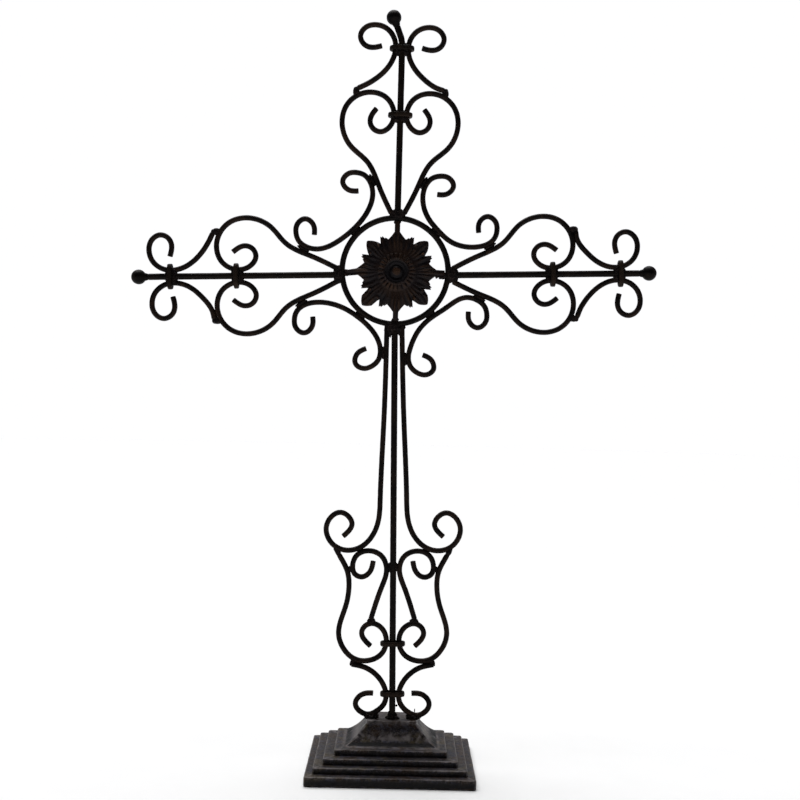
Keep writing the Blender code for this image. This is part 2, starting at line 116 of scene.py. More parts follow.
overhead = bpy.data.lights.new("overhead", "SUN")
overhead.energy = OVERHEAD_LIGHT
overhead.angle = OVERHEAD_SPREAD
lamp = bpy.data.objects.new("overhead", overhead)
lamp.rotation_euler = OVERHEAD_TILT
scene.collection.objects.link(lamp)

# Matt white paper: it scatters all light evenly, with the faintest mottle of its fibres.
paper, tree, place = finish_named("matt_white_paper")
mottle = node(tree, "TexNoise", {"Vector": place, "Scale": 1 / 0.050, "Detail": 3.0})["Fac"]
tone = node(tree, "MixRGB", {"Fac": mottle, "Color1": srgb("#f5f5f5"), "Color2": srgb("#f9f9f9")})[0]
surface = node(tree, "BsdfPrincipled", {"Base Color": tone, "Roughness": 0.9, "Specular IOR Level": 0.1})
node(tree, "OutputMaterial", {"Surface": surface[0]})

shape = bmesh.new()
bmesh.ops.create_circle(shape, cap_ends=True, segments=96, radius=FLOOR_RADIUS)
floor_mesh = bpy.data.meshes.new("floor")
shape.to_mesh(floor_mesh)
shape.free()
floor_mesh.materials.append(paper)
floor = bpy.data.objects.new("floor", floor_mesh)
floor.location.z = -FLOOR_DROP
scene.collection.objects.link(floor)


# Base
# One iron casting in four low steps under a flared pyramid with a small plate on top. It was cast in
# sand, fettled by hand and painted dark, and its edges have rubbed pale since.

BASE_WIDTH = 0.1635
BASE_DEPTH = 0.1325
BASE_OFFSET = -0.0004
BASE_SETBACK = 0.0015
BASE_CORNER = 0.0020
STEP_TOPS = (0.0094, 0.0151, 0.0208, 0.0265)
STEP_INSETS = ((0.0, 0.0), (0.0076, 0.0093), (0.0166, 0.0189), (0.0268, 0.0299))
STEP_ROUND = 0.0015
FLARE_LEDGE = (0.0092, 0.0064)
FLARE_SETBACK = 0.0043
FLARE_RISE = 0.0193
FLARE_HOLLOW = 0.12
FOOT_SPREAD = 0.0240
PLATE_WIDTH = 2 * (FOOT_SPREAD + 0.0008)
PLATE_DEPTH = 0.0340
PLATE_ROUND = 0.0013
BASE_HEIGHT = STEP_TOPS[-1] + FLARE_RISE + 0.0027
BASE_GRAIN = 0.0016
SAND_WAVE = 0.0060
SAND_PITS = 0.00022
FOOT_BEVEL = 0.0008

# How far the base is rubbed, from 1 for bare metal to -1 where it is painted near black as shade: up
# each step's face, all painted shade and more so on the first step, which the floor lights, round its
# edge by the turn in degrees, in along its ledge, shaded most towards the next step, up the flare from
# its foot, shaded in the crease at its foot and rubbed pale above, and at the corners.
FACE_SHADE = (-0.60, -0.50, -0.45, -0.30, 0.05)
EDGE_WEAR = ((22, 0.8), (45, 1.0), (68, 0.8), (90, 0.2))
LEDGE_SHADE = (-0.05, -0.1, -0.1, -0.2, -0.5)
FLARE_LEDGE_WEAR = 0.5
FLARE_SHADE_AND_WEAR = (-1.3, -1.3, -1.0, -0.3, 0.3, 0.7, 0.8, 0.9, 0.7, 0.3, -0.2, -0.3, 0.0, 0.4)
CORNER_WEAR = 0.75
CORNER_SHARE = 0.8
FIRST_STEP_SHADE = 1.8
# Painted shade on the front below the flare: how far it reaches from the middle, the film that lies all over,
# and how much more lies in the middle on the faces and on the edges.
FRONT_SHADE_REACH = 0.040
FRONT_SHADE_FILM = 0.08
FRONT_SHADE_ON_FACES = 0.2
FRONT_SHADE_ON_EDGES = 0.75


def laid_out(name, shape, material, slot, *nodes, sharp=38):
    """Turns a bmesh into a shaded piece of the cross that stands for its nodes of the frame."""
    bmesh.ops.recalc_face_normals(shape, faces=shape.faces)
    mesh = bpy.data.meshes.new(name)
    shape.to_mesh(mesh)
    shape.free()
    mesh.shade_smooth()
    mesh.set_sharp_from_angle(angle=math.radians(sharp))
    mesh.materials.append(material)
    piece = bpy.data.objects.new(name, mesh)
    scene.collection.objects.link(piece)
    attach(piece, "root")
    if nodes:
        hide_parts(*nodes)


def skinned(shape, rings):
    """Joins each ring of a bmesh's points to the next one with faces."""
    for first, second in zip(rings, rings[1:]):
        for k in range(len(first)):
            after = (k + 1) % len(first)
            shape.faces.new((first[k], first[after], second[after], second[k]))


def wear_and_light_layer_of(shape):
    """The layer in which a bmesh keeps each point's wear and painted light: from 1, bare metal and painted
    highlights, to -1, painted shade and the rosette's black hollows.
    """
    return shape.verts.layers.float.get("wear_and_painted_light") or shape.verts.layers.float.new("wear_and_painted_light")


def pitted(shape, wave, depth):
    """Sinks each point by up to a depth, in soft waves and finer pits, as hand-worked iron has."""
    bmesh.ops.recalc_face_normals(shape, faces=shape.faces)
    shape.normal_update()
    for vert in shape.verts:
        coarse = noise.noise(vert.co / wave)
        fine = noise.noise(vert.co / (wave * 0.31) + Vector((7, 3, 5)))
        vert.co -= vert.normal * depth * min(1, max(0, 0.5 + 0.6 * coarse + 0.35 * fine))


def base_outline():
    """Columns round the base: shares of the half width and depth, and the corner's unit offsets."""
    columns = []
    across = round(BASE_WIDTH / BASE_GRAIN)
    back = round(BASE_DEPTH / BASE_GRAIN)
    for quarter, count in enumerate((across, back, across, back)):
        turn = cmath.rect(1, quarter * math.pi / 2)
        for k in range(count + 1):
            share = turn * complex(-1 + 2 * k / count, -1)
            edge = turn * -1j
            columns.append((share.real, share.imag, edge.real, edge.imag, 0.0))
        for k in range(1, 6):
            arc = turn * cmath.rect(1, math.radians(-90 + 15 * k))
            share = turn * complex(1, -1)
            columns.append((share.real, share.imag, arc.real, arc.imag, 1.0))
    return columns


def base_profile():
    """Levels of the base from the floor up: inset in width and depth, shift, height, and wear and painted
    shade.
    """
    levels = [(FOOT_BEVEL, FOOT_BEVEL, 0j, 0.0, 0.0), (0.0, 0.0, 0j, FOOT_BEVEL, 0.2)]
    foot = FOOT_BEVEL
    shift = complex(-BASE_OFFSET, FLARE_SETBACK)
    flare_foot = [STEP_INSETS[-1][0] + FLARE_LEDGE[0], STEP_INSETS[-1][1] + FLARE_LEDGE[1]]
    for (wide, deep), ends, top in zip(STEP_INSETS, [*STEP_INSETS[1:], flare_foot], STEP_TOPS):
        # Each step's face is painted dark as shade, and the first step's face darker still.
        for k, wear_and_shade in enumerate(FACE_SHADE, 1):
            height = foot + (top - STEP_ROUND - foot) * k / len(FACE_SHADE)
            levels.append((wide, deep, 0j, height, FIRST_STEP_SHADE * wear_and_shade if top == STEP_TOPS[0] else wear_and_shade))
        for turn, wear_and_shade in EDGE_WEAR:
            bend = STEP_ROUND * (cmath.rect(1, math.radians(turn)) - 1)
            levels.append((wide - bend.real, deep - bend.real, 0j, top - STEP_ROUND + bend.imag, wear_and_shade))
        for k, wear_and_shade in enumerate(LEDGE_SHADE, 1):
            across = wide + STEP_ROUND + (ends[0] - wide - STEP_ROUND) * k / len(LEDGE_SHADE)
            inward = deep + STEP_ROUND + (ends[1] - deep - STEP_ROUND) * k / len(LEDGE_SHADE)
            if ends is flare_foot and k >= len(LEDGE_SHADE) - 1:
                wear_and_shade = FLARE_LEDGE_WEAR
            levels.append((across, inward, 0j, top, wear_and_shade))
        foot = top

    # The flare and its plate stand a little behind the middle of the steps.
    levels[-1] = (across, inward, shift, top, wear_and_shade)
    narrowed = (BASE_WIDTH - PLATE_WIDTH) / 2 - flare_foot[0]
    thinned = (BASE_DEPTH - PLATE_DEPTH) / 2 - flare_foot[1]
    # The flare is painted dark as shade in the crease at its foot, then rubbed pale up its middle.
    for k, wear_and_shade in enumerate(FLARE_SHADE_AND_WEAR, 1):
        share = k / len(FLARE_SHADE_AND_WEAR)
        rise = FLARE_RISE * (share - FLARE_HOLLOW * math.sin(math.pi * share))
        wide, deep = flare_foot[0] + narrowed * share, flare_foot[1] + thinned * share
        levels.append((wide, deep, shift, foot + rise, wear_and_shade))
    levels.append((wide, deep, shift, BASE_HEIGHT - PLATE_ROUND, 0.5))
    for turn in (30, 60, 90):
        bend = PLATE_ROUND * (cmath.rect(1, math.radians(turn)) - 1)
        height = BASE_HEIGHT - PLATE_ROUND + bend.imag
        levels.append((wide - bend.real, deep - bend.real, shift, height, 0.9))
    half_width = PLATE_WIDTH / 2 - PLATE_ROUND - BASE_CORNER
    half_depth = PLATE_DEPTH / 2 - PLATE_ROUND - BASE_CORNER
    for share in (0.15, 0.35, 0.6, 0.9):
        inward = wide + PLATE_ROUND + half_width * share, deep + PLATE_ROUND + half_depth * share
        levels.append((*inward, shift, BASE_HEIGHT, 0.3))
    return levels


# Painted sand-cast iron: a dull near black skin that is mottled brown, olive and slate grey, rubbed
# to pale grey metal along the steps' edges, and painted near black as shade on the steps' faces, in
# their corners and in the flare's crease. The sand's grit is a third of a millimetre, and is drawn
# four times as coarse so that it shows.
cast_iron, tree, place = finish_named("painted_sand_cast_iron")
clouded = {"Vector": place, "Scale": 1 / 0.021, "Detail": 3.0, "Distortion": 0.4}
clouds = node(tree, "TexNoise", clouded)["Fac"]
patched = {"Vector": place, "Scale": 1 / 0.0078, "Detail": 6.0, "Distortion": 0.7}
patches = node(tree, "TexNoise", patched)["Fac"]
blotched = {"Vector": place, "Scale": 1 / 0.0024, "Detail": 4.0, "Distortion": 0.8}
blotches = node(tree, "TexNoise", blotched)["Fac"]
grit = node(tree, "TexNoise", {"Vector": place, "Scale": 1 / 0.0013, "Detail": 3.0})["Fac"]
brown_share = node(tree, "MapRange", {"Value": clouds, "From Min": 0.47, "From Max": 0.58})[0]
skin = node(tree, "MixRGB", {"Fac": brown_share, "Color1": srgb("#201e23"), "Color2": srgb("#302319")})[0]
slate_share = node(tree, "MapRange", {"Value": patches, "From Min": 0.50, "From Max": 0.62, "To Max": 0.8})[0]
slated = node(tree, "MixRGB", {"Fac": slate_share, "Color1": skin, "Color2": srgb("#3b3b47")})[0]
olive_share = node(tree, "MapRange", {"Value": clouds, "From Min": 0.47, "From Max": 0.37, "To Max": 0.8})[0]
olived = node(tree, "MixRGB", {"Fac": olive_share, "Color1": slated, "Color2": srgb("#443a26")})[0]
sooted = {"Value": blotches, "From Min": 0.47, "From Max": 0.34, "To Max": 0.85}
sooty_share = node(tree, "MapRange", sooted)[0]
sooty = node(tree, "MixRGB", {"Fac": sooty_share, "Color1": olived, "Color2": srgb("#0b0a0c")})[0]
paled = {"Value": blotches, "From Min": 0.56, "From Max": 0.68, "To Max": 0.65}
pale_share = node(tree, "MapRange", paled)[0]
mottled = node(tree, "MixRGB", {"Fac": pale_share, "Color1": sooty, "Color2": srgb("#524f56")})[0]
# The attribute rubs the skin to bare metal where it is above zero, and paints it near black as shade where it
# is below.
tone_shift = node(tree, "Attribute", attribute_name="wear_and_painted_light")["Fac"]
chipped = node(tree, "MapRange", {"Value": patches, "From Min": 0.38, "From Max": 0.62})[0]
lightening = node(tree, "Math", {0: tone_shift, 1: chipped}, operation="MULTIPLY")[0]
bared = node(tree, "Math", {0: lightening, 1: 0.0}, operation="MAXIMUM")[0]
edged = node(tree, "MixRGB", {"Fac": bared, "Color1": mottled, "Color2": srgb("#736d6c")})[0]
painted_shade = node(tree, "MapRange", {"Value": tone_shift, "From Min": 0.0, "From Max": -1.0, "To Max": 0.93})[0]
speckle = node(tree, "MapRange", {"Value": grit, "From Min": 0.55, "From Max": 0.66, "To Max": 0.6})[0]
speckled = node(tree, "MixRGB", {"Fac": speckle, "Color1": edged, "Color2": srgb("#58524f")})[0]
colour = node(tree, "MixRGB", {"Fac": painted_shade, "Color1": speckled, "Color2": srgb("#070608")})[0]
dulled = {"Value": patches, "From Min": 0.3, "From Max": 0.7, "To Min": 0.34, "To Max": 0.62}
dullness = node(tree, "MapRange", dulled)[0]
grain = node(tree, "Bump", {"Strength": 0.6, "Distance": 0.0003, "Height": grit})[0]
finish = {"Base Color": colour, "Metallic": 0.25, "Roughness": dullness, "Normal": grain}
surface = node(tree, "BsdfPrincipled", {**finish, "Specular IOR Level": 0.18})
node(tree, "OutputMaterial", {"Surface": surface[0]})

shape = bmesh.new()
wear_and_painted_light = wear_and_light_layer_of(shape)
outline = base_outline()
rings = []
for inset_x, inset_y, shift, height, wear_and_shade in base_profile():
    half_width = BASE_WIDTH / 2 - inset_x - BASE_CORNER
    half_depth = BASE_DEPTH / 2 - inset_y - BASE_CORNER
    ring = []
    for share_x, share_y, edge_x, edge_y, corner in outline:
        x = share_x * half_width + edge_x * BASE_CORNER + shift.real + BASE_OFFSET
        y = share_y * half_depth + edge_y * BASE_CORNER + shift.imag + BASE_SETBACK
        vert = shape.verts.new((x, y, height))
        # Painted shade lies on the front below the flare, and most in the middle, where it hides the rubbed
        # edges.
        front_shade = 0
        if y < 0 and height < STEP_TOPS[-1] - 0.0001:
            middle_shade = FRONT_SHADE_ON_FACES if wear_and_shade < 0.5 else FRONT_SHADE_ON_EDGES
            front_shade = FRONT_SHADE_FILM + middle_shade * math.exp(-((x / FRONT_SHADE_REACH) ** 2))
        vert[wear_and_painted_light] = wear_and_shade - front_shade + (CORNER_WEAR - wear_and_shade) * corner * CORNER_SHARE
        ring.append(vert)
    rings.append(ring)
skinned(shape, rings)
shape.faces.new(rings[0][::-1])
shape.faces.new(rings[-1])
pitted(shape, SAND_WAVE, SAND_PITS)
for vert in rings[0]:
    vert.co.z = 0
laid_out("stepped_base", shape, cast_iron, "base_iron", "base", sharp=50)


# Upright and ring
# A 6.6 mm round bar, welded to the plate, that leans a little to the left. A ring bent from 6 mm
# rod is welded on its head.

ROD_RADIUS = 0.00275
BAR_RADIUS = 0.0033
CLEARANCE = 0.0003
FOOT = complex(0.0004, BASE_HEIGHT)
UPRIGHT_LEAN = math.radians(0.97)
UPWARD = cmath.rect(1, math.pi / 2 + UPRIGHT_LEAN)
RING_HEIGHT = 0.4468
RING_RADIUS = 0.0530
RING_ROD_RADIUS = 0.0030
RING_OUTER = RING_RADIUS + RING_ROD_RADIUS
RING_INNER = RING_RADIUS - RING_ROD_RADIUS
RING_MISS = 0.0003
RING_CENTRE = FOOT + RING_HEIGHT * UPWARD + RING_MISS
ROD_GRAIN = 0.0012
ROD_SIDES = 14
CUT_RIM = 0.0004
CUT_WEAR = 0.8
MELTED_SHARES = (0.40, 0.55, 0.80, 0.94)
HAMMER_WAVE = 0.0045
HAMMER_MARKS = 0.00012
IN_CROSS = Matrix(((1, 0, 0), (0, 0, 1), (0, 1, 0))).to_4x4()


def evenly(path):
    """The same line with its points a grain apart."""
    run = np.append(0, np.cumsum(np.abs(np.diff(path))))
    count = max(2, round(run[-1] / ROD_GRAIN))
    return np.interp(np.linspace(0, run[-1], count + 1), run, path)


def drawn_along(shape, path, half, deep=None, closed=False, frame_of=IN_CROSS, sides=ROD_SIDES, square=1.0):
    """Draws a section along a line: half wide in the line's plane and deep across it."""
    path = np.array(path)
    half = np.broadcast_to(half, len(path)).copy()
    deep = half if deep is None else np.broadcast_to(deep, len(path)).copy()
    if closed:
        ahead = np.roll(path, -1) - np.roll(path, 1)
    else:
        ahead = np.gradient(path)
    aside = 1j * ahead / np.abs(ahead)
    wear_and_painted_light = wear_and_light_layer_of(shape)
    rings = []
    for point, normal, wide, thick in zip(path, aside, half, deep):
        ring = []
        for k in range(sides):
            turn = math.tau * (k + 0.5) / sides
            cosine, sine = math.cos(turn), math.sin(turn)
            bulge_x = math.copysign(abs(cosine) ** square, cosine)
            bulge_y = math.copysign(abs(sine) ** square, sine)
            spot = point + normal * wide * bulge_x
            ring.append(shape.verts.new(frame_of @ Vector((spot.real, spot.imag, thick * bulge_y))))
        rings.append(ring)
    if closed:
        skinned(shape, [*rings, rings[0]])
        return
    skinned(shape, rings)
    for end in (rings[0], rings[-1]):
        shape.faces.new(end)
        for vert in end:
            vert[wear_and_painted_light] = CUT_WEAR


def bar_of(name, path, radius, material, slot, melted=False):
    """A round bar with square-cut ends, or the first one melted down into its weld, from a line."""
    path = evenly(path)
    first = (path[1] - path[0]) / abs(path[1] - path[0])
    last = (path[-1] - path[-2]) / abs(path[-1] - path[-2])
    line = [path[0], path[0] + first * CUT_RIM, *path[1:-1], path[-1] - last * CUT_RIM, path[-1]]
    half = [radius - CUT_RIM, *[radius] * (len(line) - 2), radius - CUT_RIM]
    if melted:
        half[: len(MELTED_SHARES)] = [radius * share for share in MELTED_SHARES]
    shape = bmesh.new()
    drawn_along(shape, line, half)
    pitted(shape, HAMMER_WAVE, HAMMER_MARKS)
    laid_out(name + "_iron", shape, material, slot, name)


# Blackened wrought iron: hot rolled bar under thin black paint, a satin near black with brown
# where the paint is rubbed thin and a dull sheen along its length. The paint's grit is finer than
# can be seen, and is drawn 1.4 mm coarse.
bar_black, tree, place = finish_named("blackened_wrought_iron_bar")
clouds = node(tree, "TexNoise", {"Vector": place, "Scale": 1 / 0.016, "Detail": 4.0})["Fac"]
grit = node(tree, "TexNoise", {"Vector": place, "Scale": 1 / 0.0014, "Detail": 3.0})["Fac"]
brown_share = node(tree, "MapRange", {"Value": clouds, "From Min": 0.45, "From Max": 0.66})[0]
skin = node(tree, "MixRGB", {"Fac": brown_share, "Color1": srgb("#0d0b0b"), "Color2": srgb("#1a1410")})[0]
thin = node(tree, "MapRange", {"Value": grit, "From Min": 0.56, "From Max": 0.70, "To Max": 0.7})[0]
colour = node(tree, "MixRGB", {"Fac": thin, "Color1": skin, "Color2": srgb("#2e2622")})[0]
dullness = node(tree, "MapRange", {"Value": grit, "To Min": 0.38, "To Max": 0.60})[0]
grain = node(tree, "Bump", {"Strength": 0.5, "Distance": 0.00025, "Height": grit})[0]
finish = {"Base Color": colour, "Metallic": 0.35, "Roughness": dullness, "Normal": grain}
surface = node(tree, "BsdfPrincipled", {**finish, "Specular IOR Level": 0.08})
node(tree, "OutputMaterial", {"Surface": surface[0]})

upright_line = [FOOT + 2 * CLEARANCE * UPWARD, RING_CENTRE - (RING_OUTER + CLEARANCE) * UPWARD]
bar_of("upright", upright_line, BAR_RADIUS, bar_black, "bar_iron")

shape = bmesh.new()
ring_count = round(math.tau * RING_RADIUS / ROD_GRAIN)
ring_line = [RING_CENTRE + cmath.rect(RING_RADIUS, math.tau * k / ring_count) for k in range(ring_count)]
drawn_along(shape, ring_line, RING_ROD_RADIUS, closed=True)
pitted(shape, HAMMER_WAVE, HAMMER_MARKS)
laid_out("ring_iron", shape, bar_black, "bar_iron", "ring")


# Rosette
# One leafy iron casting in the ring: a button in a ringed boss, a daisy of 24 petals, four broad
# curled leaves and four pointed ones, whose tangs are welded to the ring.

ROSETTE_OFFSET = 0.0014 - 0.0010j
ROSETTE_THICKNESS = 0.0026
TANG_HALF_WIDTH = 0.0027
TANG_MISSES = (-0.0003, 0.0, 0.0022, 0.0)
PETAL_RADIUS = 0.0400
VALLEY_RADIUS = 0.0336
TOOTH_RADIUS = 0.0386
LEAF_RADII = (0.0438, 0.0426, 0.0478, 0.0448)
BUTTON_RADIUS = 0.0050
BOSS_RADIUS = 0.0121
DAISY_RADIUS = 0.0197
BUTTON_HEIGHT = 0.0075
BOSS_HEIGHT = 0.0062
DAISY_HEIGHT = 0.0030
LEAF_RIB = 0.0014
DAISY_PETALS = 24
PETAL_RISE = 0.0013
VEIN_RISE = 0.00045
CURL_PLACE = complex(0.0315, 0.0058)
CURL_RADIUS = 0.0034
CURL_RISE = 0.0009
LEAF_CREASE = 0.0005
EDGE_RISE = 0.0007
EDGE_ROUND = 0.0005
HAND_WAVE = 0.010
BACK_SINK = 0.0005
ROSETTE_GRAIN = 0.00065
RELIEF_RINGS = 26
BACK_RINGS = (1.0, 0.94, 0.85, 0.75, 0.65, 0.55, 0.45, 0.35, 0.25, 0.15)

# The button and the ringed boss from the middle out, as radius and rise, and how rubbed they are.
MIDDLE_PROFILE = (
    (0.0, BUTTON_HEIGHT),
    (BUTTON_RADIUS * 0.7, BUTTON_HEIGHT - 0.0004),
    (BUTTON_RADIUS, BUTTON_HEIGHT - 0.0016),
    (BUTTON_RADIUS * 1.4, BOSS_HEIGHT - 0.0020),
    (0.0088, BOSS_HEIGHT - 0.0006),
    (0.0104, BOSS_HEIGHT - 0.0010),
    (BOSS_RADIUS, BOSS_HEIGHT + 0.0002),
    (0.0134, BOSS_HEIGHT - 0.0016),
    (DAISY_RADIUS, DAISY_HEIGHT - 0.0002),
)
MIDDLE_WEAR = (
    (0.0, 0.5),
    (0.0036, 0.35),
    (0.0050, -0.9),
    (0.0104, -1.0),
    (0.0116, -0.3),
    (0.0126, 0.15),
    (0.0140, 0.0),
)


def rosette_edge():
    """Points round the rosette's edge, from the tang at the right round, measured from its centre."""
    corners = []
    for quarter, (leaf_radius, miss) in enumerate(zip(LEAF_RADII, TANG_MISSES)):
        direction = cmath.rect(1, math.pi / 2 * quarter)
        for aside in (miss - TANG_HALF_WIDTH, miss + TANG_HALF_WIDTH):
            corner = ROSETTE_OFFSET / direction + 1j * aside
            reach = math.sqrt((RING_INNER - CLEARANCE) ** 2 - corner.imag**2) - corner.real
            corners.append(direction * complex(reach, aside))
        eighth = [
            (3.9, PETAL_RADIUS),
            (9.0, (PETAL_RADIUS + VALLEY_RADIUS) / 2 - 0.0005),
            (15.0, VALLEY_RADIUS),
            (19.0, (TOOTH_RADIUS + VALLEY_RADIUS) / 2),
            (20.4, (TOOTH_RADIUS + VALLEY_RADIUS) / 2 - 0.0006),
            (22.6, TOOTH_RADIUS - 0.0002),
            (24.0, TOOTH_RADIUS - 0.0012),
            (26.0, TOOTH_RADIUS + 0.0002),
            (28.2, (TOOTH_RADIUS + VALLEY_RADIUS) / 2 - 0.0006),
            (30.4, VALLEY_RADIUS - 0.0012),
            (32.6, VALLEY_RADIUS + 0.0009),
            (35.4, leaf_radius - 0.0060),
            (38.0, leaf_radius - 0.0040),
            (40.6, leaf_radius - 0.0022),
            (43.2, leaf_radius - 0.0007),
        ]
        turned = [*eighth, (45, leaf_radius), *[(90 - angle, radius) for angle, radius in reversed(eighth)]]
        corners += [direction * cmath.rect(radius, math.radians(angle)) for angle, radius in turned]
    edge = []
    for start, end in zip(corners, corners[1:] + corners[:1]):
        count = max(1, round(abs(end - start) / ROSETTE_GRAIN))
        edge += [start + (end - start) * k / count for k in range(count)]
    return edge


def rosette_relief(spot, rim):
    """How far the rosette's face stands over its back at a spot, and how rubbed it is there."""
    radius = abs(spot)
    angle = cmath.phase(spot)
    height = np.interp(radius, *zip(*MIDDLE_PROFILE, (rim, EDGE_RISE)))
    tone_shift = np.interp(radius, *zip(*MIDDLE_WEAR))
    hand = 0.5 + 0.8 * noise.noise(Vector((spot.real, 0, spot.imag)) / HAND_WAVE + Vector((3, 0, 8)))

    # The daisy's petals stand up between dark grooves.
    petal = abs(math.cos(angle * DAISY_PETALS / 2 + 0.5 * math.sin(3 * angle))) ** 0.7
    in_daisy = np.interp(radius, [0.0128, 0.0145, DAISY_RADIUS - 0.0022, DAISY_RADIUS - 0.0004], [0, 1, 1, 0])
    height += PETAL_RISE * in_daisy * (petal - 0.35)
    tone_shift += 1.1 * in_daisy * hand * max(0, petal - 0.5)
    tone_shift -= 0.7 * in_daisy * max(0, 0.45 - petal)

    # A rib runs out along each leaf, and fine veins beside it.
    past = np.interp(radius, [DAISY_RADIUS, (DAISY_RADIUS + rim) / 2, rim], [0, 1, 0.55])
    rib = 0.5 + 0.5 * math.cos(8 * angle)
    height += LEAF_RIB * rib * past
    vein = math.cos(40 * angle + 1.6 * math.sin(8 * angle) + 2.2 * hand)
    height += VEIN_RISE * vein * past
    tone_shift += past * (0.5 * max(0, vein) * hand - 0.45 * max(0, -vein) - 0.3 * (1 - rib))

    # The four broad leaves curl round an eye on either side of a crease.
    leaf = cmath.rect(1, (round(angle / (math.pi / 2) - 0.5) + 0.5) * math.pi / 2)
    local = spot / leaf
    curl = complex(local.real, abs(local.imag)) - CURL_PLACE
    share = abs(curl) / CURL_RADIUS
    if share < 1.5:
        height += CURL_RISE * math.cos(share * math.pi) * max(0, 1.5 - share)
        tone_shift += 0.6 * math.cos(share * math.pi) * (1.5 - share)
    crease = np.interp(abs(local.imag), [0, 0.0009], [1, 0]) * np.interp(local.real, [0.024, 0.028], [0, 1])
    height -= LEAF_CREASE * crease
    tone_shift = tone_shift - 0.6 * crease + 0.6 * np.interp(rim - radius, [0, 0.0010], [1, 0]) * hand
    return height + ROSETTE_THICKNESS, min(1, max(-1, tone_shift))


# Rubbed brown cast iron: black paint in the hollows, with a bluish cast, and a warm brown sheen on
# everything that a hand or cloth reaches. The grit of the sand is drawn 1.1 mm coarse, as on the base.
rosette_brown, tree, place = finish_named("rubbed_brown_cast_iron")
clouds = node(tree, "TexNoise", {"Vector": place, "Scale": 1 / 0.013, "Detail": 4.0})["Fac"]
grit = node(tree, "TexNoise", {"Vector": place, "Scale": 1 / 0.0011, "Detail": 3.0})["Fac"]
tint_share = node(tree, "MapRange", {"Value": clouds, "From Min": 0.42, "From Max": 0.60})[0]
skin = node(tree, "MixRGB", {"Fac": tint_share, "Color1": srgb("#140c0e"), "Color2": srgb("#21130b")})[0]
tone_shift = node(tree, "Attribute", attribute_name="wear_and_painted_light")["Fac"]
chipped = node(tree, "MapRange", {"Value": grit, "From Min": 0.30, "From Max": 0.65, "To Min": 0.25})[0]
lightening = node(tree, "Math", {0: tone_shift, 1: chipped}, operation="MULTIPLY")[0]
bared = node(tree, "Math", {0: lightening, 1: 0.0}, operation="MAXIMUM")[0]
warmed = node(tree, "MixRGB", {"Fac": bared, "Color1": skin, "Color2": srgb("#523721")})[0]
hollow = node(tree, "MapRange", {"Value": tone_shift, "From Min": 0.0, "From Max": -0.8, "To Max": 0.9})[0]
colour = node(tree, "MixRGB", {"Fac": hollow, "Color1": warmed, "Color2": srgb("#08060b")})[0]
dullness = node(tree, "MapRange", {"Value": grit, "To Min": 0.40, "To Max": 0.62})[0]
grain = node(tree, "Bump", {"Strength": 0.45, "Distance": 0.00025, "Height": grit})[0]
finish = {"Base Color": colour, "Metallic": 0.3, "Roughness": dullness, "Normal": grain}
surface = node(tree, "BsdfPrincipled", {**finish, "Specular IOR Level": 0.2})
node(tree, "OutputMaterial", {"Surface": surface[0]})

shape = bmesh.new()
wear_and_painted_light = wear_and_light_layer_of(shape)
edge = rosette_edge()
middle = RING_CENTRE + ROSETTE_OFFSET
back = ROSETTE_THICKNESS / 2
rings = []
for k in range(1, 2 * RELIEF_RINGS + 1):
    ring = []
    for corner in edge:
        rim = abs(corner)
        if k <= RELIEF_RINGS:
            radius = DAISY_RADIUS * k / RELIEF_RINGS
        else:
            radius = DAISY_RADIUS + (rim - DAISY_RADIUS) * ((k - RELIEF_RINGS) / RELIEF_RINGS)
        spot = corner / rim * radius
        height, rubbed_here = rosette_relief(spot, rim)
        if k == 2 * RELIEF_RINGS:
            height -= EDGE_ROUND
        vert = shape.verts.new((middle.real + spot.real, back - height, middle.imag + spot.imag))
        vert[wear_and_painted_light] = rubbed_here
        ring.append(vert)
    rings.append(ring)
for share in BACK_RINGS:
    ring = []
    for corner in edge:
        spot = Vector((corner.real * share, 0, corner.imag * share))
        sunk = 0.0
        if share < 1:
            sunk = BACK_SINK + 0.0004 * noise.noise(spot / 0.0045)
            sunk -= 0.0003 * noise.noise(spot / 0.0017)
        ring.append(shape.verts.new((middle.real + spot.x, back - sunk, middle.imag + spot.z)))
    rings.append(ring)
skinned(shape, rings)
top_height, top_rubbed = rosette_relief(0j, VALLEY_RADIUS)
crown = shape.verts.new((middle.real, back - top_height, middle.imag))
crown[wear_and_painted_light] = top_rubbed
for k in range(len(edge)):
    shape.faces.new((crown, rings[0][(k + 1) % len(edge)], rings[0][k]))
shape.faces.new(rings[-1])
laid_out("rosette_iron", shape, rosette_brown, "rosette_iron", "rosette", sharp=60)


# Arm bars
# A 6.6 mm round bar for each arm, welded to the outside of the ring. The top one was knocked to the
# left near its end and never set straight.

ARMS = {
    "top": (math.radians(89.8), 0.0011, ("left", "right")),
    "left": (math.radians(181.92), -0.0032j, ("lower", "upper")),
    "right": (math.radians(1.84), -0.0047j, ("upper", "lower")),
}
LYRE_TOUCH = 0.1013
TIP_TOUCH = LYRE_TOUCH + 0.0647
ARM_OVERHANGS = {"left": 0.0343, "right": 0.0321}
TOP_BEND_PAST = 0.0083
TOP_BEND = math.radians(21)
TOP_BENT_LENGTH = 0.0247
FINIAL_RADIUS = 0.0075
FINIAL_NECK = 0.0095


def arm_frame(arm):
    """Origin and heading of an arm, with the origin at the arm's foot on the ring."""
    heading, miss, _ = ARMS[arm]
    return RING_CENTRE + miss + cmath.rect(RING_OUTER, heading), heading


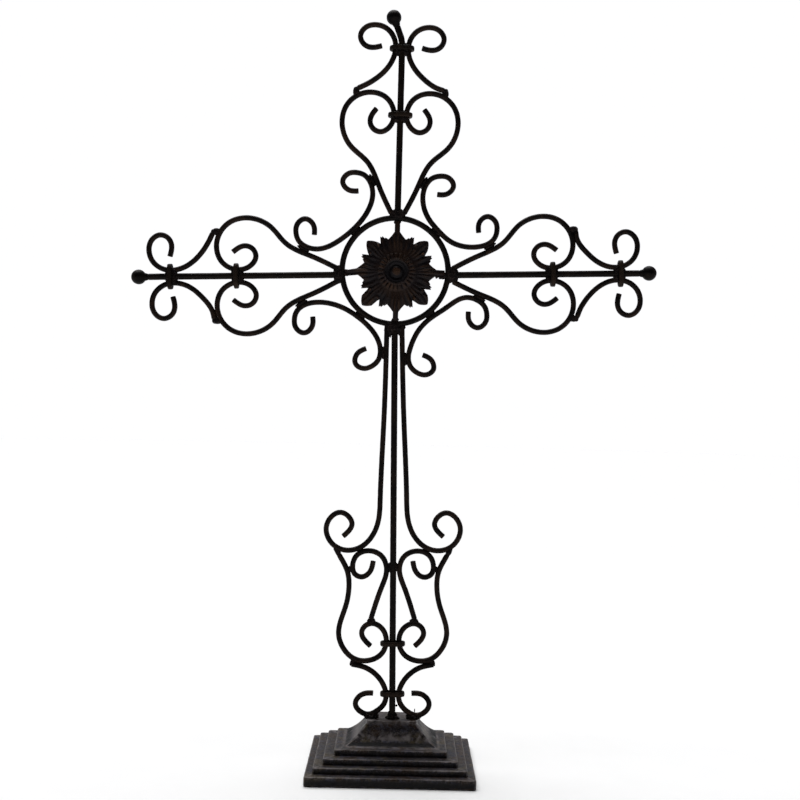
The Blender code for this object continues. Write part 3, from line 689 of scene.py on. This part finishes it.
finial_places = {}
for arm in ARMS:
    origin, heading = arm_frame(arm)
    centre_line = cmath.rect(1, heading)
    start = origin + CLEARANCE * centre_line
    if arm in ARM_OVERHANGS:
        centre = origin + (TIP_TOUCH + ARM_OVERHANGS[arm]) * centre_line
        arm_line = [start, centre - (FINIAL_NECK + CLEARANCE) * centre_line]
    else:
        bend = origin + (TIP_TOUCH + TOP_BEND_PAST) * centre_line
        heading += TOP_BEND
        bent_line = cmath.rect(1, heading)
        centre = bend + TOP_BENT_LENGTH * bent_line
        arm_line = [start, bend - 0.003 * centre_line, bend + 0.003 * bent_line]
        arm_line.append(centre - (FINIAL_NECK + CLEARANCE) * bent_line)
    bar_of(arm + "_bar", arm_line, BAR_RADIUS, bar_black, "bar_iron")
    finial_places[arm] = centre, heading


# Finials
# A ball with a short conical neck on the end of each arm's bar, forged and screwed or welded on.

BALL_WAVE = 0.0060
BALL_MARKS = 0.00018

# Forged black iron: smooth from the hammer and the file, with a satin gleam on the ball. Its faint
# grit is drawn 1.2 mm coarse.
ball_black, tree, place = finish_named("forged_black_iron")
clouds = node(tree, "TexNoise", {"Vector": place, "Scale": 1 / 0.006, "Detail": 4.0})["Fac"]
grit = node(tree, "TexNoise", {"Vector": place, "Scale": 1 / 0.0012, "Detail": 3.0})["Fac"]
brown_share = node(tree, "MapRange", {"Value": clouds, "From Min": 0.45, "From Max": 0.65})[0]
colour = node(tree, "MixRGB", {"Fac": brown_share, "Color1": srgb("#090708"), "Color2": srgb("#17110e")})[0]
dullness = node(tree, "MapRange", {"Value": grit, "To Min": 0.34, "To Max": 0.55})[0]
grain = node(tree, "Bump", {"Strength": 0.4, "Distance": 0.0002, "Height": grit})[0]
finish = {"Base Color": colour, "Metallic": 0.35, "Roughness": dullness, "Normal": grain}
surface = node(tree, "BsdfPrincipled", {**finish, "Specular IOR Level": 0.08})
node(tree, "OutputMaterial", {"Surface": surface[0]})

for arm, (centre, heading) in finial_places.items():
    outward = cmath.rect(1, heading)
    shoulder = math.pi - 0.9 * math.acos(FINIAL_RADIUS / FINIAL_NECK)
    turns = np.linspace(0.06, shoulder, 22)
    along = [*(FINIAL_RADIUS * np.cos(turns)), -FINIAL_NECK + 0.0002, -FINIAL_NECK]
    half = [*(FINIAL_RADIUS * np.sin(turns)), BAR_RADIUS, BAR_RADIUS - 0.0002]
    shape = bmesh.new()
    drawn_along(shape, [centre + a * outward for a in along], half, sides=28)
    pitted(shape, BALL_WAVE, BALL_MARKS)
    laid_out(arm + "_ball", shape, ball_black, "finial_iron", arm + "_finial")


# Lyre and tip scrolls
# On each arm a pair of long 5.5 mm rods leaves the ring beside the bar, swings out like a lyre and
# hooks back to the bar, and a short pair curls from the lyre's bulge to the arm's end. Bent cold.

ROD_TOUCH = 2 * ROD_RADIUS + CLEARANCE
BAR_TOUCH = BAR_RADIUS + ROD_RADIUS + CLEARANCE
BEND_GRAIN = 0.0010
OBLIQUE_END = ROD_TOUCH + 0.0013
STANDING_END = 1.4 * ROD_RADIUS + CLEARANCE
LYRE_BULGE = (0.1181, 0.0443)
TIP_SLIDE = {
    "top_left": 0.0008,
    "top_right": -0.0007,
    "left_upper": 0.0008,
    "left_lower": -0.0017,
    "right_upper": -0.0023,
    "right_lower": 0.0,
}


def beside(point, degrees, distance):
    """The (along, out) point at a distance from another, in a direction measured from along to out."""
    shift = cmath.rect(distance, math.radians(degrees))
    return point[0] + shift.real, point[1] + shift.imag


def placed(route, origin, heading, side):
    """A route of (along, out) pairs as points of the cross's plane; side 1 is left of the heading."""
    turn = cmath.rect(1, heading)
    return [origin + turn * complex(along, side * out) for along, out in route]


def smooth(points):
    """The natural cubic spline through the points, which is the line that a bent rod takes."""
    knots = np.array(points)
    span = np.abs(np.diff(knots))
    slope = np.diff(knots) / span
    rows = np.eye(len(knots))
    pull = np.zeros(len(knots), complex)
    for k in range(1, len(knots) - 1):
        rows[k, k - 1 : k + 2] = span[k - 1], 2 * (span[k - 1] + span[k]), span[k]
        pull[k] = 6 * (slope[k] - slope[k - 1])
    bend = np.linalg.solve(rows, pull)
    path = [knots[0]]
    for k, length in enumerate(span):
        count = max(2, round(length / BEND_GRAIN))
        for step in range(1, count + 1):
            after = length * step / count
            before = length - after
            curved = (bend[k] * before**3 + bend[k + 1] * after**3) / (6 * length)
            start = knots[k] / length - bend[k] * length / 6
            end = knots[k + 1] / length - bend[k + 1] * length / 6
            path.append(curved + start * before + end * after)
    return np.array(path)


def lyre_route():
    """From the foot of an arm out along a straight, round a wide bulge and back into a hook."""
    return [
        (0.0018, BAR_TOUCH + 0.0002),
        (0.0273, 0.0189),
        (0.0533, 0.0325),
        (0.0677, 0.0486),
        (0.0814, 0.0563),
        (0.0938, 0.0580),
        (0.1079, 0.0542),
        LYRE_BULGE,
        (0.1222, 0.0300),
        (0.1170, 0.0142),
        (LYRE_TOUCH, BAR_TOUCH),
        (0.0887, 0.0099),
        (0.0829, 0.0197),
        (0.0873, 0.0280),
        (0.0943, 0.0300),
        (0.1061, 0.0238),
    ]


def tip_route(slide):
    """From its weld on the lyre's bulge down to the bar and round into a hook."""
    hook = [
        (-0.0378, 0.0365),
        (-0.0278, 0.0215),
        (-0.0167, 0.0118),
        (0.0, BAR_TOUCH),
        (0.0115, 0.0088),
        (0.0202, 0.0168),
        (0.0229, 0.0255),
        (0.0205, 0.0362),
        (0.0118, 0.0418),
        (0.0035, 0.0384),
        (0.0005, 0.0326),
        (0.0021, 0.0200),
    ]
    touch = TIP_TOUCH + slide
    return [beside(LYRE_BULGE, 2, OBLIQUE_END)] + [(touch + along, out) for along, out in hook]


# Blackened wrought iron rod: as the bars, grit and all, but handled more when it was bent, so that
# more brown shows through the black in long streaks.
rod_black, tree, place = finish_named("blackened_wrought_iron_rod")
clouds = node(tree, "TexNoise", {"Vector": place, "Scale": 1 / 0.022, "Detail": 3.0})["Fac"]
streaked = {"Vector": place, "Scale": 1 / 0.0035, "Detail": 4.0, "Distortion": 0.8}
streaks = node(tree, "TexNoise", streaked)["Fac"]
grit = node(tree, "TexNoise", {"Vector": place, "Scale": 1 / 0.0013, "Detail": 3.0})["Fac"]
brown_share = node(tree, "MapRange", {"Value": clouds, "From Min": 0.46, "From Max": 0.64})[0]
skin = node(tree, "MixRGB", {"Fac": brown_share, "Color1": srgb("#0f0c0c"), "Color2": srgb("#241b17")})[0]
rust_share = node(tree, "MapRange", {"Value": streaks, "From Min": 0.52, "From Max": 0.70, "To Max": 0.75})[0]
rusted = node(tree, "MixRGB", {"Fac": rust_share, "Color1": skin, "Color2": srgb("#30231a")})[0]
# The attribute lightens the rods to brown at their cut ends, where they are worn, and paints a highlight
# along the middle of each collar's front.
tone_shift = node(tree, "Attribute", attribute_name="wear_and_painted_light")["Fac"]
lightening = node(tree, "Math", {0: tone_shift, 1: grit}, operation="MULTIPLY")[0]
colour = node(tree, "MixRGB", {"Fac": lightening, "Color1": rusted, "Color2": srgb("#463a30")})[0]
dullness = node(tree, "MapRange", {"Value": grit, "To Min": 0.38, "To Max": 0.60})[0]
grain = node(tree, "Bump", {"Strength": 0.5, "Distance": 0.00025, "Height": grit})[0]
finish = {"Base Color": colour, "Metallic": 0.35, "Roughness": dullness, "Normal": grain}
surface = node(tree, "BsdfPrincipled", {**finish, "Specular IOR Level": 0.08})
node(tree, "OutputMaterial", {"Surface": surface[0]})


def scroll(name, points, melted=False):
    """A scroll of 5.5 mm rod through the points; it gives back the smooth line that the rod takes."""
    path = smooth(points)
    bar_of(name, path, ROD_RADIUS, rod_black, "rod_iron", melted)
    return path


lyres, tips = {}, {}
for arm, (_, _, words) in ARMS.items():
    for side, word in zip((1, -1), words):
        lyres[arm, side] = scroll(f"{arm}_lyre_{word}", placed(lyre_route(), *arm_frame(arm), side))
        tip = tip_route(TIP_SLIDE[f"{arm}_{word}"])
        tips[arm, side] = scroll(f"{arm}_tip_scroll_{word}", placed(tip, *arm_frame(arm), side), melted=True)


# Lower scrolls
# Beside the upright hang two long rods with wide hooks. Below them the side scrolls swell round the
# waist, inner hooks stand on the side scrolls' hooks, and foot scrolls rest on the plate.

WAIST_COLLAR_AT = 0.0743
FOOT_COLLAR_AT = 0.0241
LONG_HOOK_LOW = (0.1715, 0.0582)
SIDE_WAIST = (0.1477, 0.0461)
SIDE_HOOK_TOP = (0.0943, 0.0210)
SIDE_LOW = (0.0588, 0.0380)
INNER_CONTACT = -74


def long_route():
    """From the underside of the ring, down beside the upright and round into a wide hook."""
    head = RING_HEIGHT - RING_OUTER - CLEARANCE
    return [
        (head, BAR_TOUCH + 0.0012),
        ((head + 0.2178) / 2, BAR_TOUCH + 0.0034),
        (0.2178, BAR_TOUCH + 0.0069),
        (0.1978, 0.0148),
        (0.1803, 0.0220),
        (0.1707, 0.0323),
        (0.1673, 0.0446),
        LONG_HOOK_LOW,
        (0.1883, 0.0671),
        (0.2008, 0.0619),
        (0.2051, 0.0520),
        (0.1943, 0.0413),
        (0.1812, 0.0502),
    ]


def side_route():
    """From its weld under the long scroll's hook, in at the waist, round the belly and into a hook."""
    return [
        beside(LONG_HOOK_LOW, 205, OBLIQUE_END + ROD_RADIUS / 4),
        (0.1585, 0.0515),
        SIDE_WAIST,
        (0.1318, 0.0439),
        (0.1105, 0.0474),
        (0.0907, 0.0535),
        (0.0838, 0.0540),
        (0.0662, 0.0470),
        SIDE_LOW,
        (0.0570, 0.0255),
        (0.0639, 0.0111),
        (WAIST_COLLAR_AT + 0.0015, BAR_TOUCH),
        (0.0886, 0.0102),
        SIDE_HOOK_TOP,
        (0.0911, 0.0282),
        (0.0858, 0.0309),
        (0.0716, 0.0219),
    ]


def inner_route():
    """A hook against the side scroll's waist, then past the upright and down to stand on its hook."""
    return [
        (0.1569, 0.0198),
        (0.1454, 0.0235),
        (0.1408, 0.0310),
        (0.1442, 0.0386),
        beside(SIDE_WAIST, INNER_CONTACT, ROD_TOUCH + 0.0002),
        (0.1627, 0.0359),
        (0.1669, 0.0250),
        (0.1615, 0.0113),
        (0.1488, BAR_TOUCH + 0.0001),
        (0.1307, BAR_TOUCH + 0.0049),
        beside(SIDE_HOOK_TOP, 10, STANDING_END + 0.0004),
    ]


def foot_route(side):
    """From its weld under the side scroll's belly, in to the upright and round, resting on the plate."""
    seat = ROD_RADIUS + CLEARANCE + side * FOOT_SPREAD * math.sin(UPRIGHT_LEAN)
    return [
        beside(SIDE_LOW, 150, ROD_TOUCH + 0.0003),
        (0.0503, 0.0276),
        (0.0415, 0.0149),
        (0.0298, BAR_TOUCH + 0.0013),
        (FOOT_COLLAR_AT, BAR_TOUCH),
        (0.0154, BAR_TOUCH + 0.0012),
        (seat + 0.0031, FOOT_SPREAD - 0.0080),
        (seat, FOOT_SPREAD),
        (seat + 0.0030, FOOT_SPREAD + 0.0082),
        (0.0138, 0.0369),
        (0.0232, 0.0303),
        (0.0246, 0.0190),
    ]


lower_lines = {}
up_heading = cmath.phase(UPWARD)
for side, word in ((1, "left"), (-1, "right")):
    routes = {"long": long_route(), "side": side_route(), "inner": inner_route(), "foot": foot_route(side)}
    for kind, route in routes.items():
        points = placed(route, FOOT, up_heading, side)
        lower_lines[kind, side] = scroll(f"{kind}_scroll_{word}", points, melted=kind == "side")


# Corner scrolls
# A C-shaped scroll of the same rod in each corner. Its bow is welded to the ring and each of its
# knees to the straight of a neighbour, and both ends hook back.

CORNERS = {
    "upper_right": (math.radians(44.5), (("right", 1, 0.0397), ("top", -1, 0.0352))),
    "upper_left": (math.radians(135.6), (("top", 1, 0.0359), ("left", -1, 0.0363))),
    "lower_left": (math.radians(233.4), (("left", 1, 0.0420), ("low", 1, 0.0262))),
    "lower_right": (math.radians(309.7), (("low", -1, 0.0323), ("right", -1, 0.0316))),
}
CORNER_BOW_RISE = 0.0014
CORNER_BOW_REACH = 0.0160


def knee_on(name, side, knee_at):
    """Where a corner scroll's knee rests on its neighbour, and the directions along and away from it."""
    if name == "low":
        start, end = placed(long_route()[:2], FOOT, up_heading, side)
        side = -side
    else:
        start, end = placed(lyre_route()[:3:2], *arm_frame(name), side)
    along = (end - start) / abs(end - start)
    away = 1j * along * side
    abreast = ((RING_CENTRE - start) * along.conjugate()).real
    return start + (abreast + RING_OUTER + knee_at) * along + ROD_TOUCH * away, along, away


def corner_hook(name, side, knee_at):
    """The hook of half a corner scroll, from its end to its knee and just past it."""
    knee, along, away = knee_on(name, side, knee_at)
    route = [
        (-0.0039, 0.0141),
        (0.0014, 0.0228),
        (0.0113, 0.0246),
        (0.0161, 0.0167),
        (0.0136, 0.0081),
        (0.0074, 0.0019),
        (0.0, 0.0),
        (-0.0120, 0.0024),
    ]
    return [knee + x * along + y * away for x, y in route]


corner_contacts = []
for word, (angle, (first, second)) in CORNERS.items():
    outward = cmath.rect(1, angle)
    contact = RING_CENTRE + (RING_OUTER + ROD_RADIUS + CLEARANCE) * outward
    first_hook = corner_hook(*first)
    second_hook = corner_hook(*second)
    turned = math.copysign(1, ((first_hook[-1] - contact) / outward).imag)
    first_bow = contact + complex(CORNER_BOW_RISE, turned * CORNER_BOW_REACH) * outward
    second_bow = contact + complex(CORNER_BOW_RISE, -turned * CORNER_BOW_REACH) * outward
    scroll(f"corner_scroll_{word}", [*first_hook, first_bow, contact, second_bow, *reversed(second_hook)])
    corner_contacts.append(RING_CENTRE + (RING_OUTER + CLEARANCE / 2) * outward)


# Collars
# Short lengths of flat-sided wire, closed hot round the bar and the two rods that it holds. The
# arms' ones stand out narrow and tall, and the two on the upright are wrapped from thinner wire.

COLLAR_HEIGHT = 0.0049
COLLAR_PLAY = 0.0003
COLLAR_GRAIN = 0.0013
COLLAR_WAVE = 0.0035
COLLAR_MARKS = 0.00025
COLLAR_WEAR = 0.1
# The painted highlight along the middle of each collar's front: its half width and its strength.
HIGHLIGHT_STRIP = 0.0012
STRIP_HIGHLIGHT = 0.22
ARM_COLLAR_WIRE = 0.0029
LOW_COLLAR_WIRE = 0.0026
COLLAR_SLIDES = {"top": (-0.0015, 0.0005), "left": (0.0014, 0.0028), "right": (0.0005, 0.0036)}


def collar(name, centre, heading, wire, held):
    """A loop of wire with straight sides and round ends, closed round the bar and the rods it holds."""
    along = cmath.rect(1, heading)
    reach = BAR_TOUCH
    for path in held:
        place = (path - centre) / along
        inside = COLLAR_HEIGHT / 2 + ROD_RADIUS / 4
        near = (np.abs(place.real) < inside) & (np.abs(place.imag) < 2 * BAR_TOUCH)
        reach = max([reach, *np.abs(place.imag[near])])
    round_end = BAR_RADIUS + CLEARANCE + wire / 2
    straight = reach + ROD_RADIUS + COLLAR_PLAY + wire / 2 - round_end
    bow = [complex(straight, 0) + cmath.rect(round_end, math.radians(a)) for a in range(-90, 91, 15)]
    corners = [*bow, *[-point for point in bow]]
    loop = []
    for start, end in zip(corners, corners[1:] + corners[:1]):
        count = max(1, round(abs(end - start) / COLLAR_GRAIN))
        loop += [start + (end - start) * k / count for k in range(count)]
    aside = 1j * along
    rows = (aside.real, 0, along.real, centre.real), (0, 1, 0, 0), (aside.imag, 0, along.imag, centre.imag)
    stand = Matrix((*rows, (0, 0, 0, 1)))
    shape = bmesh.new()
    drawn_along(shape, loop, wire / 2, COLLAR_HEIGHT / 2, closed=True, frame_of=stand, sides=16, square=0.6)
    pitted(shape, COLLAR_WAVE, COLLAR_MARKS)
    wear_and_painted_light = wear_and_light_layer_of(shape)
    # A narrow strip along the middle of each collar's front is a painted highlight; the rest of the collar is
    # a little worn.
    for vert in shape.verts:
        spot = (complex(vert.co.x, vert.co.z) - centre) / along
        vert[wear_and_painted_light] = STRIP_HIGHLIGHT if abs(spot.real) < HIGHLIGHT_STRIP and vert.co.y < 0 else COLLAR_WEAR
    laid_out(name + "_iron", shape, rod_black, "rod_iron", name)


collar_places = {}
for arm in ARMS:
    origin, heading = arm_frame(arm)
    centre_line = cmath.rect(1, heading)
    inner = origin + (LYRE_TOUCH + COLLAR_SLIDES[arm][0]) * centre_line
    outer = origin + (TIP_TOUCH + COLLAR_SLIDES[arm][1]) * centre_line
    collar(arm + "_inner_collar", inner, heading, ARM_COLLAR_WIRE, [lyres[arm, 1], lyres[arm, -1]])
    collar(arm + "_outer_collar", outer, heading, ARM_COLLAR_WIRE, [tips[arm, 1], tips[arm, -1]])
    collar_places[arm] = inner, outer
sides_held = [lower_lines["side", 1], lower_lines["side", -1]]
feet_held = [lower_lines["foot", 1], lower_lines["foot", -1]]
collar("waist_collar", FOOT + WAIST_COLLAR_AT * UPWARD, up_heading, LOW_COLLAR_WIRE, sides_held)
collar("foot_collar", FOOT + FOOT_COLLAR_AT * UPWARD, up_heading, LOW_COLLAR_WIRE, feet_held)


# Welds
# Beads of weld metal wherever two pieces meet: lumpy, built up by hand and never dressed. The big
# ones join the bars and lyres to the ring, and blocks of weld fill in under the arms' collars.

# Scaled weld metal: a burnt near black skin with pale brown grit, rougher than the rods round it.
# The grit is drawn 1 mm coarse, so that it shows.
weld_black, tree, place = finish_named("scaled_weld_metal")
clouds = node(tree, "TexNoise", {"Vector": place, "Scale": 1 / 0.004, "Detail": 4.0})["Fac"]
grit = node(tree, "TexNoise", {"Vector": place, "Scale": 1 / 0.0010, "Detail": 4.0})["Fac"]
burnt_share = node(tree, "MapRange", {"Value": clouds, "From Min": 0.42, "From Max": 0.62})[0]
skin = node(tree, "MixRGB", {"Fac": burnt_share, "Color1": srgb("#0c090b"), "Color2": srgb("#1b1312")})[0]
scale_share = node(tree, "MapRange", {"Value": grit, "From Min": 0.53, "From Max": 0.68, "To Max": 0.7})[0]
colour = node(tree, "MixRGB", {"Fac": scale_share, "Color1": skin, "Color2": srgb("#3a322f")})[0]
dullness = node(tree, "MapRange", {"Value": grit, "To Min": 0.45, "To Max": 0.70})[0]
grain = node(tree, "Bump", {"Strength": 0.7, "Distance": 0.0004, "Height": grit})[0]
finish = {"Base Color": colour, "Metallic": 0.3, "Roughness": dullness, "Normal": grain}
surface = node(tree, "BsdfPrincipled", {**finish, "Specular IOR Level": 0.08})
node(tree, "OutputMaterial", {"Surface": surface[0]})


def bead(shape, centre, size, heading=0.0, square=1.0, lumps=0.22):
    """One bead at a point of the cross's plane, with half sizes along its heading, across it and deep."""
    turn = cmath.rect(1, heading)

    # Its place picks its lumps, coarse ones and finer ones, so that no two beads are alike.
    for vert in bmesh.ops.create_icosphere(shape, subdivisions=4, radius=1)["verts"]:
        swell = 1 + lumps * noise.noise(vert.co * 1.6 + Vector((centre.real, 0, centre.imag)) * 900)
        swell += 0.35 * lumps * noise.noise(vert.co * 4.5 + Vector((centre.imag, 0, centre.real)) * 700)
        out = [math.copysign(abs(c) ** square, c) * swell * half for c, half in zip(vert.co, size)]
        spot = centre + turn * complex(out[0], out[1])
        vert.co = (spot.real, out[2], spot.imag)


def welded(name, beads):
    """A group of beads as one piece, each given by the values that bead() takes after the shape."""
    shape = bmesh.new()
    for values in beads:
        bead(shape, *values)
    laid_out(name, shape, weld_black, "rod_iron", sharp=70)


# Each bead here has a centre, half sizes, a heading, a squareness, where 1 is round, and its lumps.
top_foot, top_heading = arm_frame("top")
left_foot, left_heading = arm_frame("left")
right_foot, right_heading = arm_frame("right")
bar_beads = [
    (top_foot + 0.0006j, (0.0048, 0.0080, 0.0040), top_heading, 0.85, 0.25),
    (top_foot + 0.0026j - 0.0026, (0.0030, 0.0032, 0.0034), top_heading, 1.0, 0.3),
    (top_foot + 0.0030j + 0.0026, (0.0030, 0.0030, 0.0034), top_heading, 1.0, 0.3),
    (left_foot - 0.0006, (0.0050, 0.0084, 0.0040), left_heading, 0.85, 0.25),
    (right_foot + 0.0010, (0.0060, 0.0080, 0.0042), right_heading, 0.85, 0.25),
    (right_foot + 0.0044 + 0.0010j, (0.0032, 0.0030, 0.0036), right_heading, 1.0, 0.3),
]
ring_foot = RING_CENTRE - RING_RADIUS * UPWARD
upright_beads = [
    (ring_foot - 0.0036j, (0.0056, 0.0100, 0.0040), up_heading, 0.8, 0.3),
    (ring_foot - 0.0046 - 0.0076j, (0.0060, 0.0021, 0.0030), up_heading, 1.0, 0.2),
    (ring_foot + 0.0046 - 0.0066j, (0.0048, 0.0021, 0.0030), up_heading, 1.0, 0.2),
]
tang_beads = [
    (RING_CENTRE + RING_INNER - 0.0018 - 0.0042j, (0.0046, 0.0034, 0.0034), 0.2, 1.0, 0.35),
    (RING_CENTRE + RING_INNER - 0.0080 - 0.0030j, (0.0022, 0.0034, 0.0028), 0.0, 1.0, 0.35),
    (RING_CENTRE - RING_INNER + 0.0012 - 0.0030j, (0.0030, 0.0034, 0.0030), 0.0, 1.0, 0.3),
    (RING_CENTRE + 0.0014 + (RING_INNER - 0.0010) * 1j, (0.0034, 0.0026, 0.0028), 0.0, 1.0, 0.3),
    (RING_CENTRE + 0.0010 - (RING_INNER - 0.0010) * 1j, (0.0040, 0.0026, 0.0028), 0.0, 1.0, 0.3),
]
welded("ring_welds", bar_beads + upright_beads + tang_beads)

BOW_BEAD = (0.0020, 0.0056, 0.0021)
KNEE_BEAD = (0.0066, 0.0019, 0.0021)
corner_beads = [(spot, BOW_BEAD, cmath.phase(spot - RING_CENTRE)) for spot in corner_contacts]
for _, halves in CORNERS.values():
    for half in halves:
        knee, along, away = knee_on(*half)
        corner_beads.append((knee - ROD_TOUCH / 2 * away, KNEE_BEAD, cmath.phase(along), 0.9, 0.08))
welded("corner_welds", corner_beads)

HEEL_BEAD = (0.0046, 0.0034, 0.0028)
HEEL_KNOB = (0.0031, 0.0031, 0.0029)
COLLAR_BLOCKS = ((-0.0036 + 0.0034j, (0.0036, 0.0052, 0.0034)), (-0.0040 - 0.0036j, (0.0032, 0.0048, 0.0034)))
COLLAR_BEAD = (0.0022, 0.0062, 0.0030)
COLLAR_BEAD_AT = 0.0030
bulge_beads = []
collar_beads = []
for arm in ARMS:
    origin, heading = arm_frame(arm)
    outward = cmath.rect(1, heading)
    for side in (1, -1):
        heel = tips[arm, side][0]
        bulge = placed([LYRE_BULGE], origin, heading, side)[0]
        bulge_beads.append(((heel + bulge) / 2, HEEL_BEAD, cmath.phase(heel - bulge), 0.9, 0.12))
        bulge_beads.append((0.88 * heel + 0.12 * bulge, HEEL_KNOB, 0.0, 1.0, 0.15))
    for held_at in collar_places[arm]:
        for shift, size in COLLAR_BLOCKS:
            collar_beads.append((held_at + shift * outward, size, heading, 0.75, 0.3))
        collar_beads.append((held_at + COLLAR_BEAD_AT * outward, COLLAR_BEAD, heading, 0.8, 0.3))
welded("bulge_welds", bulge_beads)
welded("collar_welds", collar_beads)

INNER_TOUCH_AT = 0.1500
SEAT_AT = 0.0208
low_beads = []
for side in (1, -1):
    hook, belly, ledge = placed([LONG_HOOK_LOW, SIDE_LOW, SIDE_HOOK_TOP], FOOT, up_heading, side)
    waist = placed([beside(SIDE_WAIST, INNER_CONTACT, ROD_TOUCH / 2)], FOOT, up_heading, side)[0]
    side_end = lower_lines["side", side][0]
    foot_end = lower_lines["foot", side][0]
    inner_end = lower_lines["inner", side][-1]
    middle = FOOT + (INNER_TOUCH_AT + side * BAR_TOUCH / 2 * 1j) * UPWARD
    seat = FOOT - side * SEAT_AT
    low_beads += [
        (0.35 * hook + 0.65 * side_end, (0.0058, 0.0028, 0.0027), cmath.phase(side_end - hook), 0.9, 0.2),
        (waist, (0.0032, 0.0019, 0.0020), up_heading),
        ((belly + foot_end) / 2, (0.0046, 0.0025, 0.0024), cmath.phase(foot_end - belly)),
        ((ledge + inner_end) / 2, (0.0032, 0.0042, 0.0030), up_heading, 0.9, 0.3),
        (middle, (0.0046, 0.0026, 0.0030), up_heading, 0.85, 0.3),
        (seat + 0.0008j, (0.0050, 0.0036, 0.0050), 0.0, 1.0, 0.35),
        (seat + 0.0044 + 0.0018j, (0.0030, 0.0028, 0.0042), 0.0, 1.0, 0.4),
        (seat - 0.0042 + 0.0016j, (0.0032, 0.0026, 0.0042), 0.0, 1.0, 0.4),
    ]
low_beads += [
    (FOOT + 0.0004j, (0.0066, 0.0026, 0.0058), 0.0, 1.0, 0.35),
    (FOOT + 0.0026j, (0.0044, 0.0036, 0.0044), 0.0, 1.0, 0.3),
    (FOOT - 0.0020 + 0.0046j, (0.0024, 0.0024, 0.0036), 0.0, 1.0, 0.35),
]

# Two burrs, one on the upright's side and one on the right foot scroll.
low_beads.append((FOOT + 0.0039 + 0.0124j, (0.0011, 0.0010, 0.0010), 0.0, 1.0, 0.4))
low_beads.append((FOOT + 0.0223 + 0.0078j, (0.0005, 0.0020, 0.0006), 0.0, 1.0, 0.2))
welded("lower_welds", low_beads)
